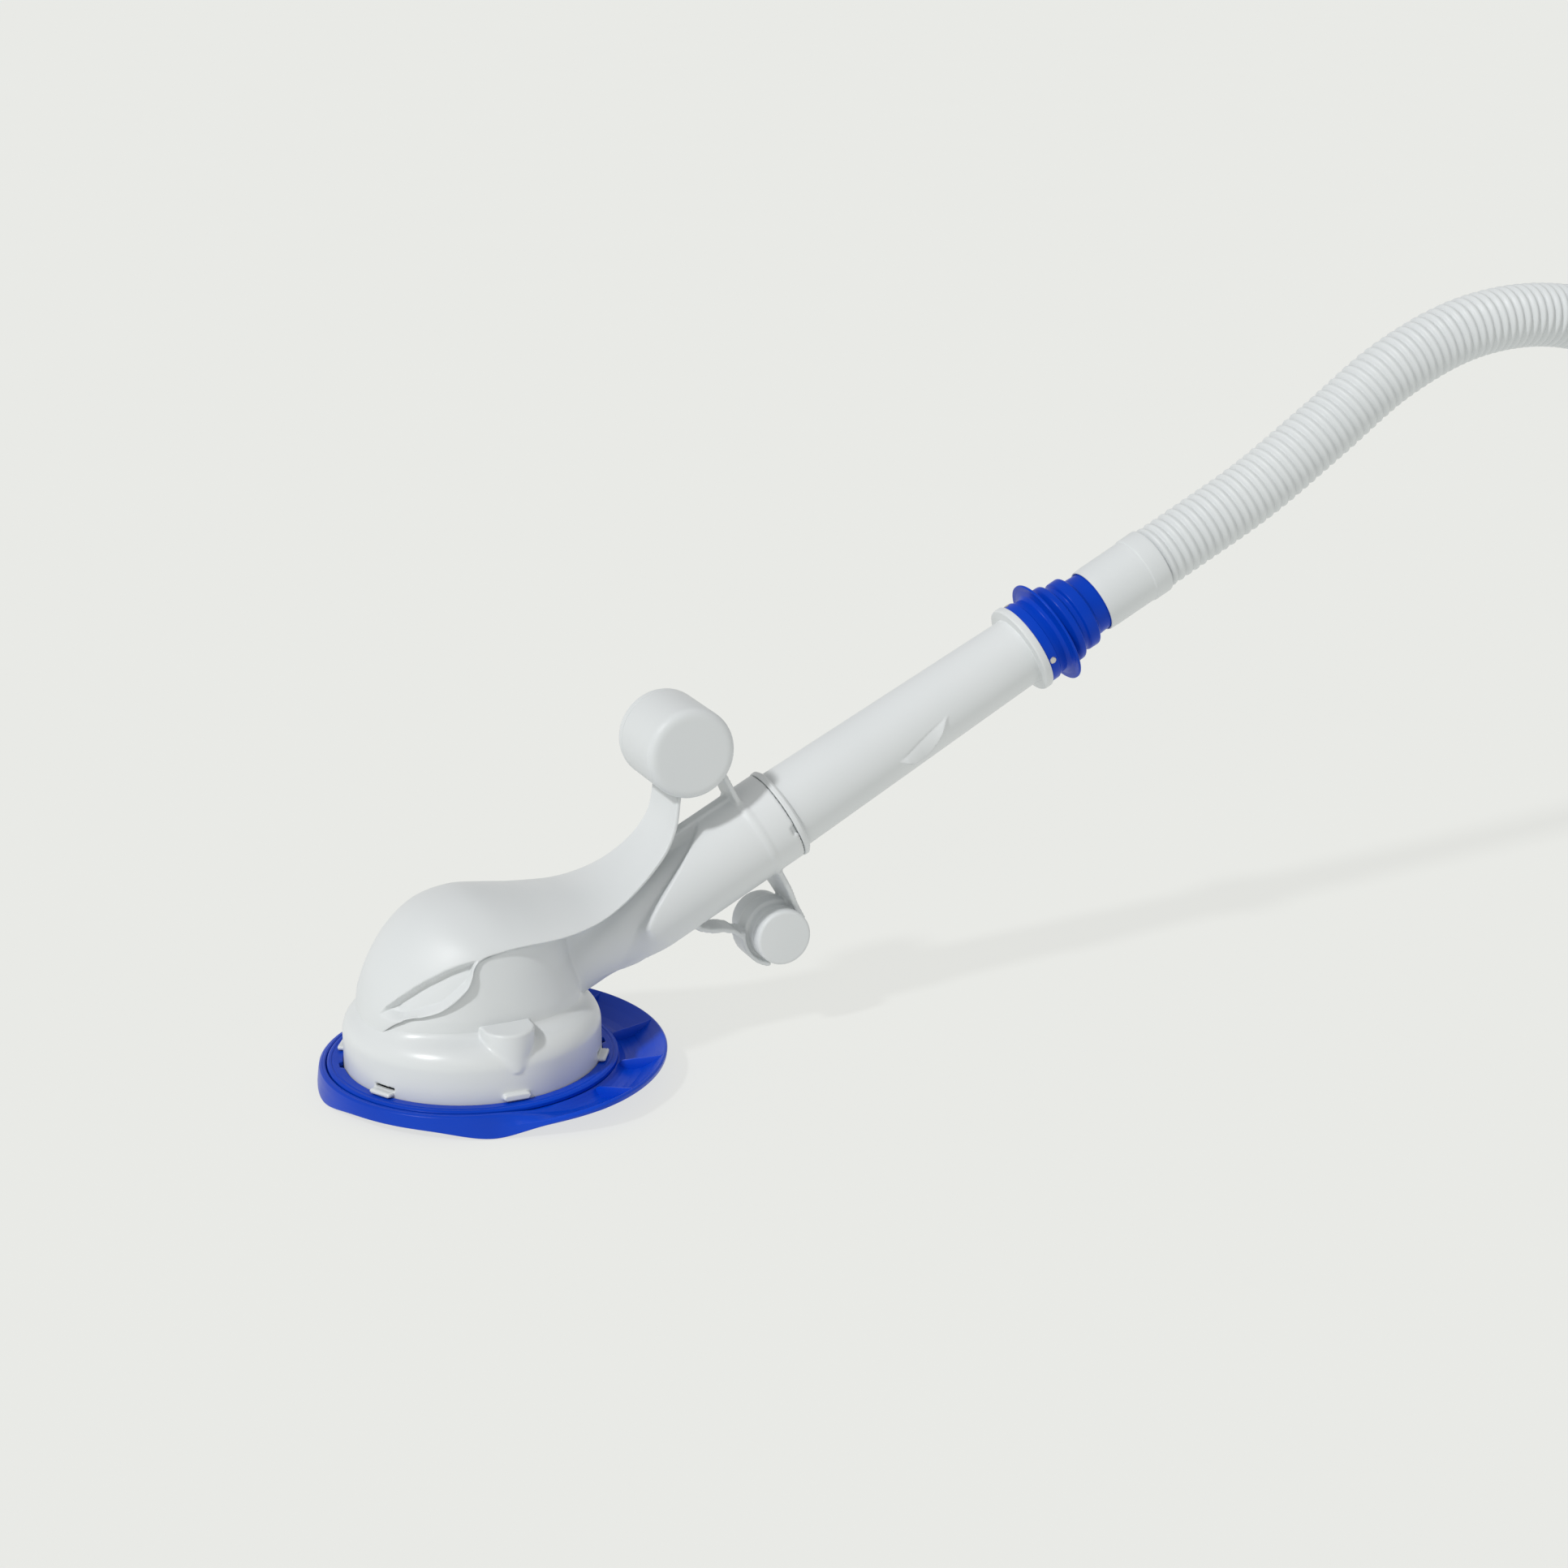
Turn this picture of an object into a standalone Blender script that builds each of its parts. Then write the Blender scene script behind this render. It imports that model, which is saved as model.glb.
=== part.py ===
"""Suction pool cleaner: a domed body on a blue flexible disc, a tube that leans back from it, a float
above the tube, a ballast pod below it, a swivel at the tube's end and one section of suction hose.

Metres, +Z up.  The cleaner stands on the plane Z = 0.  The tube leans towards +X.  Heights and the
X positions below are measured from the vertical centre line of the round body; the whole model hangs
from one empty, which puts the middle of the cleaner (without its hose) on the world origin.
"""

import math

import bmesh
import bpy
from mathutils import Matrix, Vector

# ---------------------------------------------------------------- driving dimensions
GAP = 0.0003                    # between neighbouring pieces
BODY_TO_ORIGIN = 0.1829         # world origin lies this far in +X from the body's centre line

BASE_RADIUS = 0.080             # white base band
BASE_BOTTOM = 0.0062
BASE_SHOULDER_Z = 0.0355        # where the upright wall turns into the rounded shoulder
SHOULDER_RADIUS = 0.0145
BASE_TOP = BASE_SHOULDER_Z + SHOULDER_RADIUS
WALL = 0.0026                   # moulded wall

RING_TOP = 0.016                # blue ring that the base's tabs hold down
RING_THICK = 0.0032
RING_INNER = 0.0805
RING_OUTER = 0.0905
TAB_ANGLES = (30, 90, 150, 210, 270, 330)

SKIRT_FRONT_RADIUS = 0.0965
SKIRT_REAR_RADIUS = 0.121
SKIRT_RIM_Z = 0.0148            # underside of the raised rear rim
RIB_ANGLES = (-54, -28, 0, 28, 54)

CORE_TOP = 0.106                # the oval chamber body reaches up to the cowl's edges, all lower than this
CORE_POWER = 2.3                # how square the oval is
CORE_OVALS = (                  # height, half length, half width
    (0.044, 0.0680, 0.0605),
    (0.061, 0.0660, 0.0595),
    (0.071, 0.0625, 0.0580),
    (0.081, 0.0590, 0.0565),
    (0.097, 0.0570, 0.0540),
    (CORE_TOP, 0.0570, 0.0540),
)

TUBE_TILT = math.radians(27.5)  # the tube's lean above the horizontal
TUBE_RISE = 0.0357              # where the tube's axis crosses the body's centre line
NECK_RADIUS = 0.0304
NECK_ROOT_RADIUS = 0.0238       # slimmer where it leaves the round body
NECK_END = 0.2332               # distances along the tube's axis from the body's centre line
BRACE_AT = 0.2128               # the brace plate that carries the float and the ballast pod
COLLAR_RADIUS = 0.0310
TUBE_RADIUS_LOW = 0.02695
TUBE_RADIUS_HIGH = 0.0233
FLANGE_RADIUS = 0.0302
FLANGE_START = 0.4272
FLANGE_END = 0.4325

FLOAT_X, FLOAT_Z = 0.1388, 0.1997
FLOAT_RADIUS = 0.0290
FLOAT_HALF = 0.0274

POD_X, POD_Z = 0.2025, 0.0680
POD_RADIUS = 0.0183
POD_HALF = 0.0225
POD_COLLAR_RADIUS = 0.0208
POD_COLLAR_HALF = 0.0060

HAMMER_Z = 0.056
HAMMER_PIN_RADIUS = 0.0020

TAIL_RADIUS = 0.0205
CUFF_START = 0.4870
CUFF_LENGTH = 0.0503
CUFF_RADIUS = 0.0226
HOSE_RADIUS = 0.02175

WEB_STATIONS = (                # under the tail band: X, half width, lowest Z, highest Z
    (0.0400, 0.0380, 0.058, 0.1052),
    (0.0530, 0.0330, 0.062, 0.1062),
    (0.0690, 0.0260, 0.068, 0.1072),
    (0.0845, 0.0200, 0.074, 0.1108),
    (0.0980, 0.0140, 0.080, 0.1163),
    (0.1080, 0.0080, 0.086, 0.1226),
    (0.1150, 0.0030, 0.092, 0.1284),
)

COWL_THICK = 0.0028
# Stations along the cowl: edge X, half width and edge Z, then crown X and crown Z.
COWL_STATIONS = (
    (-0.0660, 0.0220, 0.0510, -0.0700, 0.0506),
    (-0.0565, 0.0405, 0.0605, -0.0688, 0.0640),
    (-0.0359, 0.0567, 0.0719, -0.0635, 0.0820),
    (-0.0210, 0.0587, 0.0847, -0.0500, 0.1028),
    (-0.0125, 0.0545, 0.0965, -0.0310, 0.1172),
    (0.0040, 0.0555, 0.1020, -0.0060, 0.1232),
    (0.0200, 0.0555, 0.1035, 0.0180, 0.1202),
    (0.0364, 0.0540, 0.1037, 0.0370, 0.1167),
    (0.0528, 0.0505, 0.1046, 0.0545, 0.1146),
    (0.0692, 0.0445, 0.1069, 0.0700, 0.1139),
    (0.0845, 0.0380, 0.1119, 0.0848, 0.1164),
    (0.0986, 0.0320, 0.1195, 0.0983, 0.1220),
    (0.1107, 0.0275, 0.1290, 0.1103, 0.1302),
    (0.1207, 0.0245, 0.1399, 0.1204, 0.1404),
    (0.1275, 0.0215, 0.1534, 0.1275, 0.1534),
    (0.1303, 0.0205, 0.1706, 0.1303, 0.1706),
)

# The hose section's middle line: out of its near cuff, over in an arch and down to lie on the floor.
HOSE_ROUTE = (
    (0.4773, 0, 0.2842), (0.4968, 0, 0.2944), (0.5529, 0, 0.3248),
    (0.6056, 0, 0.3607), (0.6580, 0, 0.3972), (0.7167, 0, 0.4214),
    (0.7801, 0, 0.4265), (0.8419, -0.0006, 0.4119), (0.8963, -0.0021, 0.3791),
    (0.9381, -0.0043, 0.3312), (0.9689, -0.0070, 0.2754), (0.9986, -0.0108, 0.2191),
    (1.0282, -0.0156, 0.1627), (1.0604, -0.0221, 0.1081), (1.1047, -0.0326, 0.0637),
    (1.1594, -0.0469, 0.0346), (1.2196, -0.0638, 0.0234), (1.2810, -0.0814, 0.0229),
    (1.3031, -0.0877, 0.0229),
)
HOSE_POINTS = 64                # points read along the smooth middle line
FLOOR_CUFF_HEADING = math.radians(-16.0)

WHITE, BLUE, STEEL, RUBBER, LEAD, ACETAL = "white", "blue", "steel", "rubber", "lead", "acetal"
FINISHES = {                    # colour, roughness, metallic
    WHITE: ((0.80, 0.82, 0.83), 0.35, 0.0),
    BLUE: ((0.010, 0.070, 0.480), 0.38, 0.0),
    STEEL: ((0.62, 0.60, 0.57), 0.25, 1.0),
    RUBBER: ((0.03, 0.03, 0.03), 0.60, 0.0),
    LEAD: ((0.25, 0.26, 0.28), 0.55, 1.0),
    ACETAL: ((0.72, 0.73, 0.72), 0.40, 0.0),
}


# ---------------------------------------------------------------- shared tools
def clear_scene():
    for old in list(bpy.data.objects):
        bpy.data.objects.remove(old, do_unlink=True)


def material(name):
    made = bpy.data.materials.new(name)
    made.use_nodes = True
    shader = made.node_tree.nodes["Principled BSDF"]
    colour, roughness, metallic = FINISHES[name]
    shader.inputs["Base Color"].default_value = (*colour, 1.0)
    shader.inputs["Roughness"].default_value = roughness
    shader.inputs["Metallic"].default_value = metallic
    made.diffuse_color = (*colour, 1.0)
    return made


def empty(name, parent=None, matrix=Matrix.Identity(4)):
    made = bpy.data.objects.new(name, None)
    made.empty_display_size = 0.02
    bpy.context.collection.objects.link(made)
    made.parent = parent
    made.matrix_local = matrix
    return made


def solid(name, bm, finish, parent, matrix=Matrix.Identity(4)):
    """A closed piece: its faces turned outward, its round sides shaded smooth."""
    bmesh.ops.recalc_face_normals(bm, faces=bm.faces)
    mesh = bpy.data.meshes.new(name)
    bm.to_mesh(mesh)
    bm.free()
    mesh.shade_smooth()
    mesh.set_sharp_from_angle(angle=math.radians(35))
    mesh.materials.append(bpy.data.materials[finish])
    made = bpy.data.objects.new(name, mesh)
    bpy.context.collection.objects.link(made)
    made.parent = parent
    made.matrix_local = matrix
    return made


def guide(made):
    """Marks an object as a cutter: it shapes others and isn't a piece."""
    made.hide_render = True
    made.display_type = "WIRE"
    made.hide_set(True)
    return made


def shape_with(target, tool, operation):
    """Adds, cuts or intersects a guide with a piece."""
    step = target.modifiers.new(f"{operation.lower()} {tool.name}", "BOOLEAN")
    step.operation = operation
    step.solver = "EXACT"
    step.object = guide(tool)
    return target


def turned(profile, segments):
    """A closed outline of (radius, height) turned about Z; a radius of 0 closes on the axis."""
    bm = bmesh.new()
    loops = []
    for radius, height in profile:
        if radius < 1e-6:
            loops.append([bm.verts.new((0, 0, height))] * segments)
        else:
            turns = [2 * math.pi * k / segments for k in range(segments)]
            loops.append([
                bm.verts.new((radius * math.cos(a), radius * math.sin(a), height)) for a in turns
            ])
    for low, high in zip(loops, loops[1:] + loops[:1]):
        for k in range(segments):
            after = (k + 1) % segments
            corners = list(dict.fromkeys((low[k], low[after], high[after], high[k])))
            if len(corners) > 2:
                bm.faces.new(corners)
    return bm


def lofted(loops, cap=True):
    """Bridges equal closed loops of points in order and caps both ends."""
    bm = bmesh.new()
    rings = [[bm.verts.new(point) for point in loop] for loop in loops]
    count = len(rings[0])
    for low, high in zip(rings, rings[1:]):
        for k in range(count):
            after = (k + 1) % count
            bm.faces.new((low[k], low[after], high[after], high[k]))
    if cap:
        bm.faces.new(rings[0])
        bm.faces.new(rings[-1])
    return bm


def prism(outline, low, high, plane="XZ"):
    """A flat outline pushed from low to high along the axis across its plane."""
    place = {
        "XZ": lambda p, t: (p[0], t, p[1]),
        "XY": lambda p, t: (p[0], p[1], t),
    }[plane]
    return lofted([[place(p, t) for p in outline] for t in (low, high)])


def add_box(bm, low, high, turn=Matrix.Identity(4)):
    """Adds a box between two corners to a mesh, turned by a matrix."""
    corners = [
        bm.verts.new(turn @ Vector((x, y, z)))
        for x in (low[0], high[0]) for y in (low[1], high[1]) for z in (low[2], high[2])
    ]
    for face in ((0, 1, 3, 2), (4, 6, 7, 5), (0, 4, 5, 1), (2, 3, 7, 6), (0, 2, 6, 4), (1, 5, 7, 3)):
        bm.faces.new([corners[k] for k in face])
    return bm


def rod(radius, low, high, segments=16):
    return turned([(0, low), (radius, low), (radius, high), (0, high)], segments)


def arc(centre, radius, start, end, steps):
    """Points (radius, height) on an arc, angles in degrees from the outward direction."""
    angles = [math.radians(start + (end - start) * k / steps) for k in range(steps + 1)]
    return [(centre[0] + radius * math.cos(a), centre[1] + radius * math.sin(a)) for a in angles]


def smoothstep(value):
    value = min(max(value, 0.0), 1.0)
    return value * value * (3 - 2 * value)


def smooth_line(points, count):
    """Points at even parameter steps on a Catmull-Rom curve through the given points."""
    points = [Vector(p) for p in points]
    ends = [2 * points[0] - points[1], *points, 2 * points[-1] - points[-2]]
    line = []
    for k in range(count):
        place = k / (count - 1) * (len(points) - 1)
        first = min(int(place), len(points) - 2)
        t = place - first
        a, b, c, d = ends[first:first + 4]
        line.append(
            0.5 * (2 * b + (c - a) * t + (2 * a - 5 * b + 4 * c - d) * t**2
                   + (3 * b - a - 3 * c + d) * t**3)
        )
    return line


ALONG_Y = Matrix.Rotation(math.radians(-90), 4, "X")      # turns a piece's Z axis to +Y
TUBE_FRAME = (
    Matrix.Translation((0, 0, TUBE_RISE))
    @ Matrix.Rotation(math.pi / 2 - TUBE_TILT, 4, "Y")
    @ Matrix.Rotation(math.pi, 4, "Z")
)                                                          # Z up the tube, X away from the floor


def on_tube(along):
    return Matrix.Translation((0, 0, along))


def about_z(degrees):
    return Matrix.Rotation(math.radians(degrees), 4, "Z")


# ---------------------------------------------------------------- round body
def base_shell(body, tube):
    """The drum-shaped base band: rounded shoulder, annular roof, tabs over the ring, side bosses."""
    inner = BASE_RADIUS - WALL
    shoulder = (BASE_RADIUS - SHOULDER_RADIUS, BASE_SHOULDER_Z)
    roof_edge = 0.050
    profile = [(BASE_RADIUS, BASE_BOTTOM)]
    profile += arc(shoulder, SHOULDER_RADIUS, 0, 90, 6)
    profile += [(roof_edge, BASE_TOP), (roof_edge, BASE_TOP - WALL)]
    profile += arc(shoulder, SHOULDER_RADIUS - WALL, 90, 0, 4)
    profile += [(inner, BASE_BOTTOM)]
    shell = solid("base_shell", turned(profile, 40), WHITE, body)

    tabs = bmesh.new()
    for angle in TAB_ANGLES:
        add_box(tabs, (0.0786, -0.0078, RING_TOP + GAP), (0.0845, 0.0078, RING_TOP + 0.0030),
                about_z(angle))
    shape_with(shell, solid("cut_tabs", tabs, WHITE, body), "UNION")
    slots = bmesh.new()
    for angle in TAB_ANGLES:
        if angle % 180 != 90:
            add_box(slots, (0.0740, -0.0070, RING_TOP + 0.0036), (0.0830, 0.0070, RING_TOP + 0.0060),
                    about_z(angle))
    shape_with(shell, solid("cut_slots", slots, WHITE, body), "DIFFERENCE")

    for side, name in ((-1, "right"), (1, "left")):
        outline = [(-0.0135, -0.0608), (-0.0135, -0.0680), (-0.0095, -0.0750), (-0.0035, -0.0787),
                   (0.0020, -0.0796), (0.0075, -0.0787), (0.0135, -0.0750), (0.0175, -0.0680),
                   (0.0175, -0.0608)]
        boss = prism([(x, -side * y) for x, y in outline], 0.0340, 0.0570, "XY")
        shape_with(shell, solid(f"cut_boss_{name}", boss, WHITE, body), "UNION")

    way = solid("cut_way", rod(0.0215, 0.020, 0.100, 24), WHITE, tube)
    shape_with(shell, way, "DIFFERENCE")
    posts = bmesh.new()
    for angle in FOOT_SCREW_ANGLES:
        post = rod(0.0042, FOOT_TOP + GAP, BASE_TOP - 0.0010, 12)
        post.transform(about_z(angle) @ Matrix.Translation((FOOT_SCREW_RADIUS, 0, 0)))
        join_into(posts, post)
    shape_with(shell, solid("cut_posts", posts, WHITE, body), "UNION")
    shape_with(shell, screw_holes("cut_post_holes", 0.0017, 0.0030, 0.0300, body), "DIFFERENCE")
    return shell


def join_into(target, source):
    """Moves one mesh's faces into another, as a further separate body."""
    mesh = bpy.data.meshes.new("joined")
    source.to_mesh(mesh)
    source.free()
    target.from_mesh(mesh)
    bpy.data.meshes.remove(mesh)


FOOT_TOP = 0.0052
FOOT_SCREW_ANGLES = (60, 120, 240, 300)
FOOT_SCREW_RADIUS = 0.058


def screw_holes(name, radius, low, high, body):
    holes = bmesh.new()
    for angle in FOOT_SCREW_ANGLES:
        hole = rod(radius, low, high, 12)
        hole.transform(about_z(angle) @ Matrix.Translation((FOOT_SCREW_RADIUS, 0, 0)))
        join_into(holes, hole)
    return solid(name, holes, WHITE, body)


def oval(half_length, half_width, height, count=32):
    """A squarish oval ring of points at one height."""
    ring = []
    for k in range(count):
        a = 2 * math.pi * k / count
        c, s = math.cos(a), math.sin(a)
        ring.append((
            half_length * math.copysign(abs(c) ** (2 / CORE_POWER), c),
            half_width * math.copysign(abs(s) ** (2 / CORE_POWER), s),
            height,
        ))
    return ring


def core_loft(inset, low=None, high=None):
    """The oval chamber body as a solid, drawn in by an inset, with other end heights if given."""
    heights = [z for z, _, _ in CORE_OVALS]
    heights[0] = low or heights[0]
    heights[-1] = high or heights[-1]
    return lofted([
        oval(length - inset, width - inset, z)
        for z, (_, length, width) in zip(heights, CORE_OVALS)
    ])


def neck_radius(along, turn):
    """The neck's radius: full beyond a slanted front that runs from its top forward to its underside."""
    upward = math.cos(turn)
    front = 0.117 + 0.066 * max(upward, 0.0) ** 1.3 - 0.010 * max(-upward, 0.0)
    length = 0.014 + 0.040 * max(-upward, 0.0)
    return NECK_ROOT_RADIUS + (NECK_RADIUS - NECK_ROOT_RADIUS) * smoothstep((along - front) / length + 0.5)


def below_cowl(name, drop, body):
    """A guide: everything lower than the cowl's side edges, less a drop."""
    edge = [(x, z - drop) for x, _, z, _, _ in COWL_STATIONS if x < 0.09]
    outline = [(-0.10, 0.020), (-0.10, edge[0][1]), *edge, (0.10, edge[-1][1]), (0.10, 0.020)]
    return solid(name, prism(outline, -0.080, 0.080), WHITE, body)


def chamber_body(body, tube):
    """Oval chamber, neck, web, float brace, strap and pod shell: one hollow moulding."""
    made = solid("chamber_body", core_loft(0), WHITE, body)
    shape_with(made, below_cowl("cut_below_cowl", 0.0029, body), "INTERSECT")

    stations = [0.030, 0.060] + [0.088 + 0.008 * k for k in range(15)] + [NECK_END]
    turns = [2 * math.pi * k / 24 for k in range(24)]
    neck = lofted([
        [(neck_radius(s, a) * math.cos(a), neck_radius(s, a) * math.sin(a), s) for a in turns]
        for s in stations
    ])
    shape_with(made, solid("cut_neck", neck, WHITE, tube), "UNION")
    seat = [(0, 0.0100), (BASE_RADIUS + GAP, 0.0100)]
    seat += arc((BASE_RADIUS - SHOULDER_RADIUS, BASE_SHOULDER_Z), SHOULDER_RADIUS + GAP, 0, 90, 6)
    seat += [(0, BASE_TOP + GAP)]
    shape_with(made, solid("cut_seat", turned(seat, 40), WHITE, body), "DIFFERENCE")

    web = lofted([
        [(x, -half, low), (x, half, low), (x, half, high), (x, -half, high)]
        for x, half, low, high in WEB_STATIONS
    ])
    shape_with(made, solid("cut_web", web, WHITE, body), "UNION")
    spine = [(0.1130, 0.092), (0.1130, 0.1272), (0.1190, 0.1334), (0.1752, 0.1628), (0.1850, 0.1400),
             (0.120, 0.085)]
    shape_with(made, solid("cut_spine", prism(spine, -0.0034, 0.0034), WHITE, body), "UNION")

    brace = add_box(bmesh.new(), (0.0270, -0.0085, BRACE_AT - 0.00175),
                    (0.0546, 0.0085, BRACE_AT + 0.00175))
    add_box(brace, (-0.0680, -0.0128, BRACE_AT - 0.00175), (-0.0270, 0.0128, BRACE_AT + 0.00175))
    shape_with(made, solid("cut_brace", brace, WHITE, tube), "UNION")
    strap = [(0.140, 0.0800), (0.152, 0.0762), (0.165, 0.0752), (0.176, 0.0725), (0.1860, 0.0660),
             (0.1880, 0.0720), (0.178, 0.0762), (0.166, 0.0785), (0.152, 0.0860)]
    shape_with(made, solid("cut_strap", prism(strap, -0.0080, 0.0080), WHITE, body), "UNION")

    at_pod = Matrix.Translation((POD_X, 0, POD_Z)) @ ALONG_Y
    pod = turned([
        (0, -POD_HALF + 0.0090), (POD_RADIUS, -POD_HALF + 0.0090),
        (POD_RADIUS, -POD_COLLAR_HALF), (POD_COLLAR_RADIUS, -POD_COLLAR_HALF),
        (POD_COLLAR_RADIUS, POD_COLLAR_HALF), (POD_RADIUS, POD_COLLAR_HALF),
        (POD_RADIUS, POD_HALF - 0.0025), (POD_RADIUS - 0.0007, POD_HALF - 0.0007),
        (POD_RADIUS - 0.0025, POD_HALF), (0, POD_HALF),
    ], 24)
    shape_with(made, solid("cut_pod", pod, WHITE, body, at_pod), "UNION")
    pod_bore = rod(POD_RADIUS - WALL, -POD_HALF - 0.004, POD_HALF - 0.0030, 24)
    shape_with(made, solid("cut_pod_bore", pod_bore, WHITE, body, at_pod @ about_z(7.5)), "DIFFERENCE")

    hollow = solid("cut_core_hollow", core_loft(WALL, low=0.040), WHITE, body)
    shape_with(hollow, below_cowl("cut_below_lid", 0.0029 + WALL, body), "INTERSECT")
    shape_with(made, hollow, "DIFFERENCE")
    bore = turned([(0, 0.030), (0.0209, 0.030), (0.0209, 0.192), (0.0276, 0.196), (0.0276, 0.250),
                   (0, 0.250)], 24)
    shape_with(made, solid("cut_neck_bore", bore, WHITE, tube), "DIFFERENCE")
    return made


# ---------------------------------------------------------------- cowl
def cowl_grid(inset, along_count=26, across_count=13):
    """Rows of points over the cowl's skin, drawn inward by an inset along the skin's normal."""
    stations = smooth_stations(along_count)
    rows = []
    for edge_x, half, edge_z, crown_x, crown_z in stations:
        row = []
        for k in range(across_count):
            side = -math.cos(math.pi * k / (across_count - 1))
            rise = (1 - side * side) ** 0.8
            row.append(Vector((
                edge_x + (crown_x - edge_x) * rise, half * side, edge_z + (crown_z - edge_z) * rise,
            )))
        rows.append(row)
    inward = []
    for i, row in enumerate(rows):
        drawn = []
        for k, point in enumerate(row):
            ahead = rows[min(i + 1, len(rows) - 1)][k] - rows[max(i - 1, 0)][k]
            across = row[min(k + 1, across_count - 1)] - row[max(k - 1, 0)]
            drawn.append(point + ahead.cross(across).normalized() * -inset)
        inward.append(drawn)
    return inward


def smooth_stations(count):
    """The cowl's stations read from a smooth curve through the given ones."""
    edges = smooth_line([(x, w, z) for x, w, z, _, _ in COWL_STATIONS], count)
    crowns = smooth_line([(x, 0, z) for _, _, _, x, z in COWL_STATIONS], count)
    return [(e.x, e.y, e.z, c.x, c.z) for e, c in zip(edges, crowns)]


def skin(bm, rows):
    """Adds a grid of points as faces and returns its vertices."""
    grid = [[bm.verts.new(point) for point in row] for row in rows]
    for low, high in zip(grid, grid[1:]):
        for k in range(len(low) - 1):
            bm.faces.new((low[k], low[k + 1], high[k + 1], high[k]))
    return grid


def rim(grid):
    """The vertices around a grid's edge, in order."""
    return (grid[0] + [row[-1] for row in grid[1:-1]] + grid[-1][::-1]
            + [row[0] for row in grid[-2:0:-1]])


def cowl(body):
    """Dome and tail band: one curved shell, open underneath."""
    bm = bmesh.new()
    outer, inner = rim(skin(bm, cowl_grid(0))), rim(skin(bm, cowl_grid(COWL_THICK)))
    for k in range(len(outer)):
        after = (k + 1) % len(outer)
        bm.faces.new((outer[k], outer[after], inner[after], inner[k]))
    return solid("cowl", bm, WHITE, body)


# ---------------------------------------------------------------- disc
def skirt_section(degrees):
    """The skirt's closed outline (radius, height) at one angle; 0 degrees is under the tube."""
    turn = abs((degrees + 180) % 360 - 180)
    rear = 1 - smoothstep((turn - 60) / 42)
    lobe = max(math.exp(-((turn - at) / 17.0) ** 2) for at in (100, 180))
    low = 0.0056 * (1 - lobe) * (1 - rear)
    radius = SKIRT_FRONT_RADIUS + 0.0010 * lobe
    front = [(0.0806, 0.0056), (0.0806, 0.0124), (0.0909, 0.0124), (0.0916, 0.0148),
             (0.0935, 0.0152), (0.0952, 0.0138), (0.0958, 0.0100), (0.0962, 0.0068),
             (radius, low), (radius - 0.0026, low), (0.0932, 0.0078), (0.0905, 0.0102),
             (0.0855, 0.0100), (0.0845, 0.0056)]
    back = [(0.0806, 0.0056), (0.0806, 0.0124), (0.0909, 0.0124), (0.0922, 0.0098),
            (0.0975, 0.0076), (0.1050, 0.0088), (0.1140, 0.0138), (0.1202, 0.0190),
            (SKIRT_REAR_RADIUS, 0.0174), (0.1206, SKIRT_RIM_Z), (0.1120, 0.0092), (0.1030, 0.0046),
            (0.0930, 0.0040), (0.0850, 0.0056)]
    return [(a + (c - a) * rear, b + (d - b) * rear) for (a, b), (c, d) in zip(front, back)]


def skirt_disc(disc):
    """The flexible disc: lobed wall in front, raised dish with ribs at the back."""
    bm = bmesh.new()
    steps = 44
    rings = []
    for k in range(steps):
        angle = 2 * math.pi * k / steps
        rings.append([
            bm.verts.new((r * math.cos(angle), r * math.sin(angle), z))
            for r, z in skirt_section(math.degrees(angle))
        ])
    for here, ahead in zip(rings, rings[1:] + rings[:1]):
        for k in range(len(here)):
            after = (k + 1) % len(here)
            bm.faces.new((here[k], ahead[k], ahead[after], here[after]))
    made = solid("skirt_disc", bm, BLUE, disc, Matrix.Translation((0, 0, -DISC_JOINT_Z)))

    ribs = bmesh.new()
    outline = [(0.0916, 0.0128), (0.1187, 0.0172), (0.1130, 0.0108), (0.1030, 0.0062),
               (0.0945, 0.0062)]
    for angle in RIB_ANGLES:
        rib = prism(outline, -0.0008, 0.0008)
        rib.transform(about_z(angle))
        join_into(ribs, rib)
    tool = solid("cut_ribs", ribs, BLUE, disc, Matrix.Translation((0, 0, -DISC_JOINT_Z)))
    return shape_with(made, tool, "UNION")


DISC_JOINT_Z = 0.0125


def retaining_ring(disc):
    """Flat blue ring that sits on the skirt under the base's tabs, with a raised line near its rim."""
    low = RING_TOP - RING_THICK
    profile = [(RING_INNER, low), (RING_OUTER, low), (RING_OUTER, RING_TOP - 0.0012),
               (0.0898, RING_TOP - 0.0002), (0.0882, RING_TOP), (0.0874, RING_TOP - 0.0006),
               (RING_INNER, RING_TOP - 0.0003)]
    down = Matrix.Translation((0, 0, -DISC_JOINT_Z))
    made = solid("retaining_ring", turned(profile, 40), BLUE, disc, down)
    notches = bmesh.new()
    for angle in (-10, 170):
        add_box(notches, (0.0790, -0.0040, 0.0100), (0.0832, 0.0040, 0.0200), about_z(angle))
    return shape_with(made, solid("cut_notches", notches, BLUE, disc, down), "DIFFERENCE")


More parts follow.
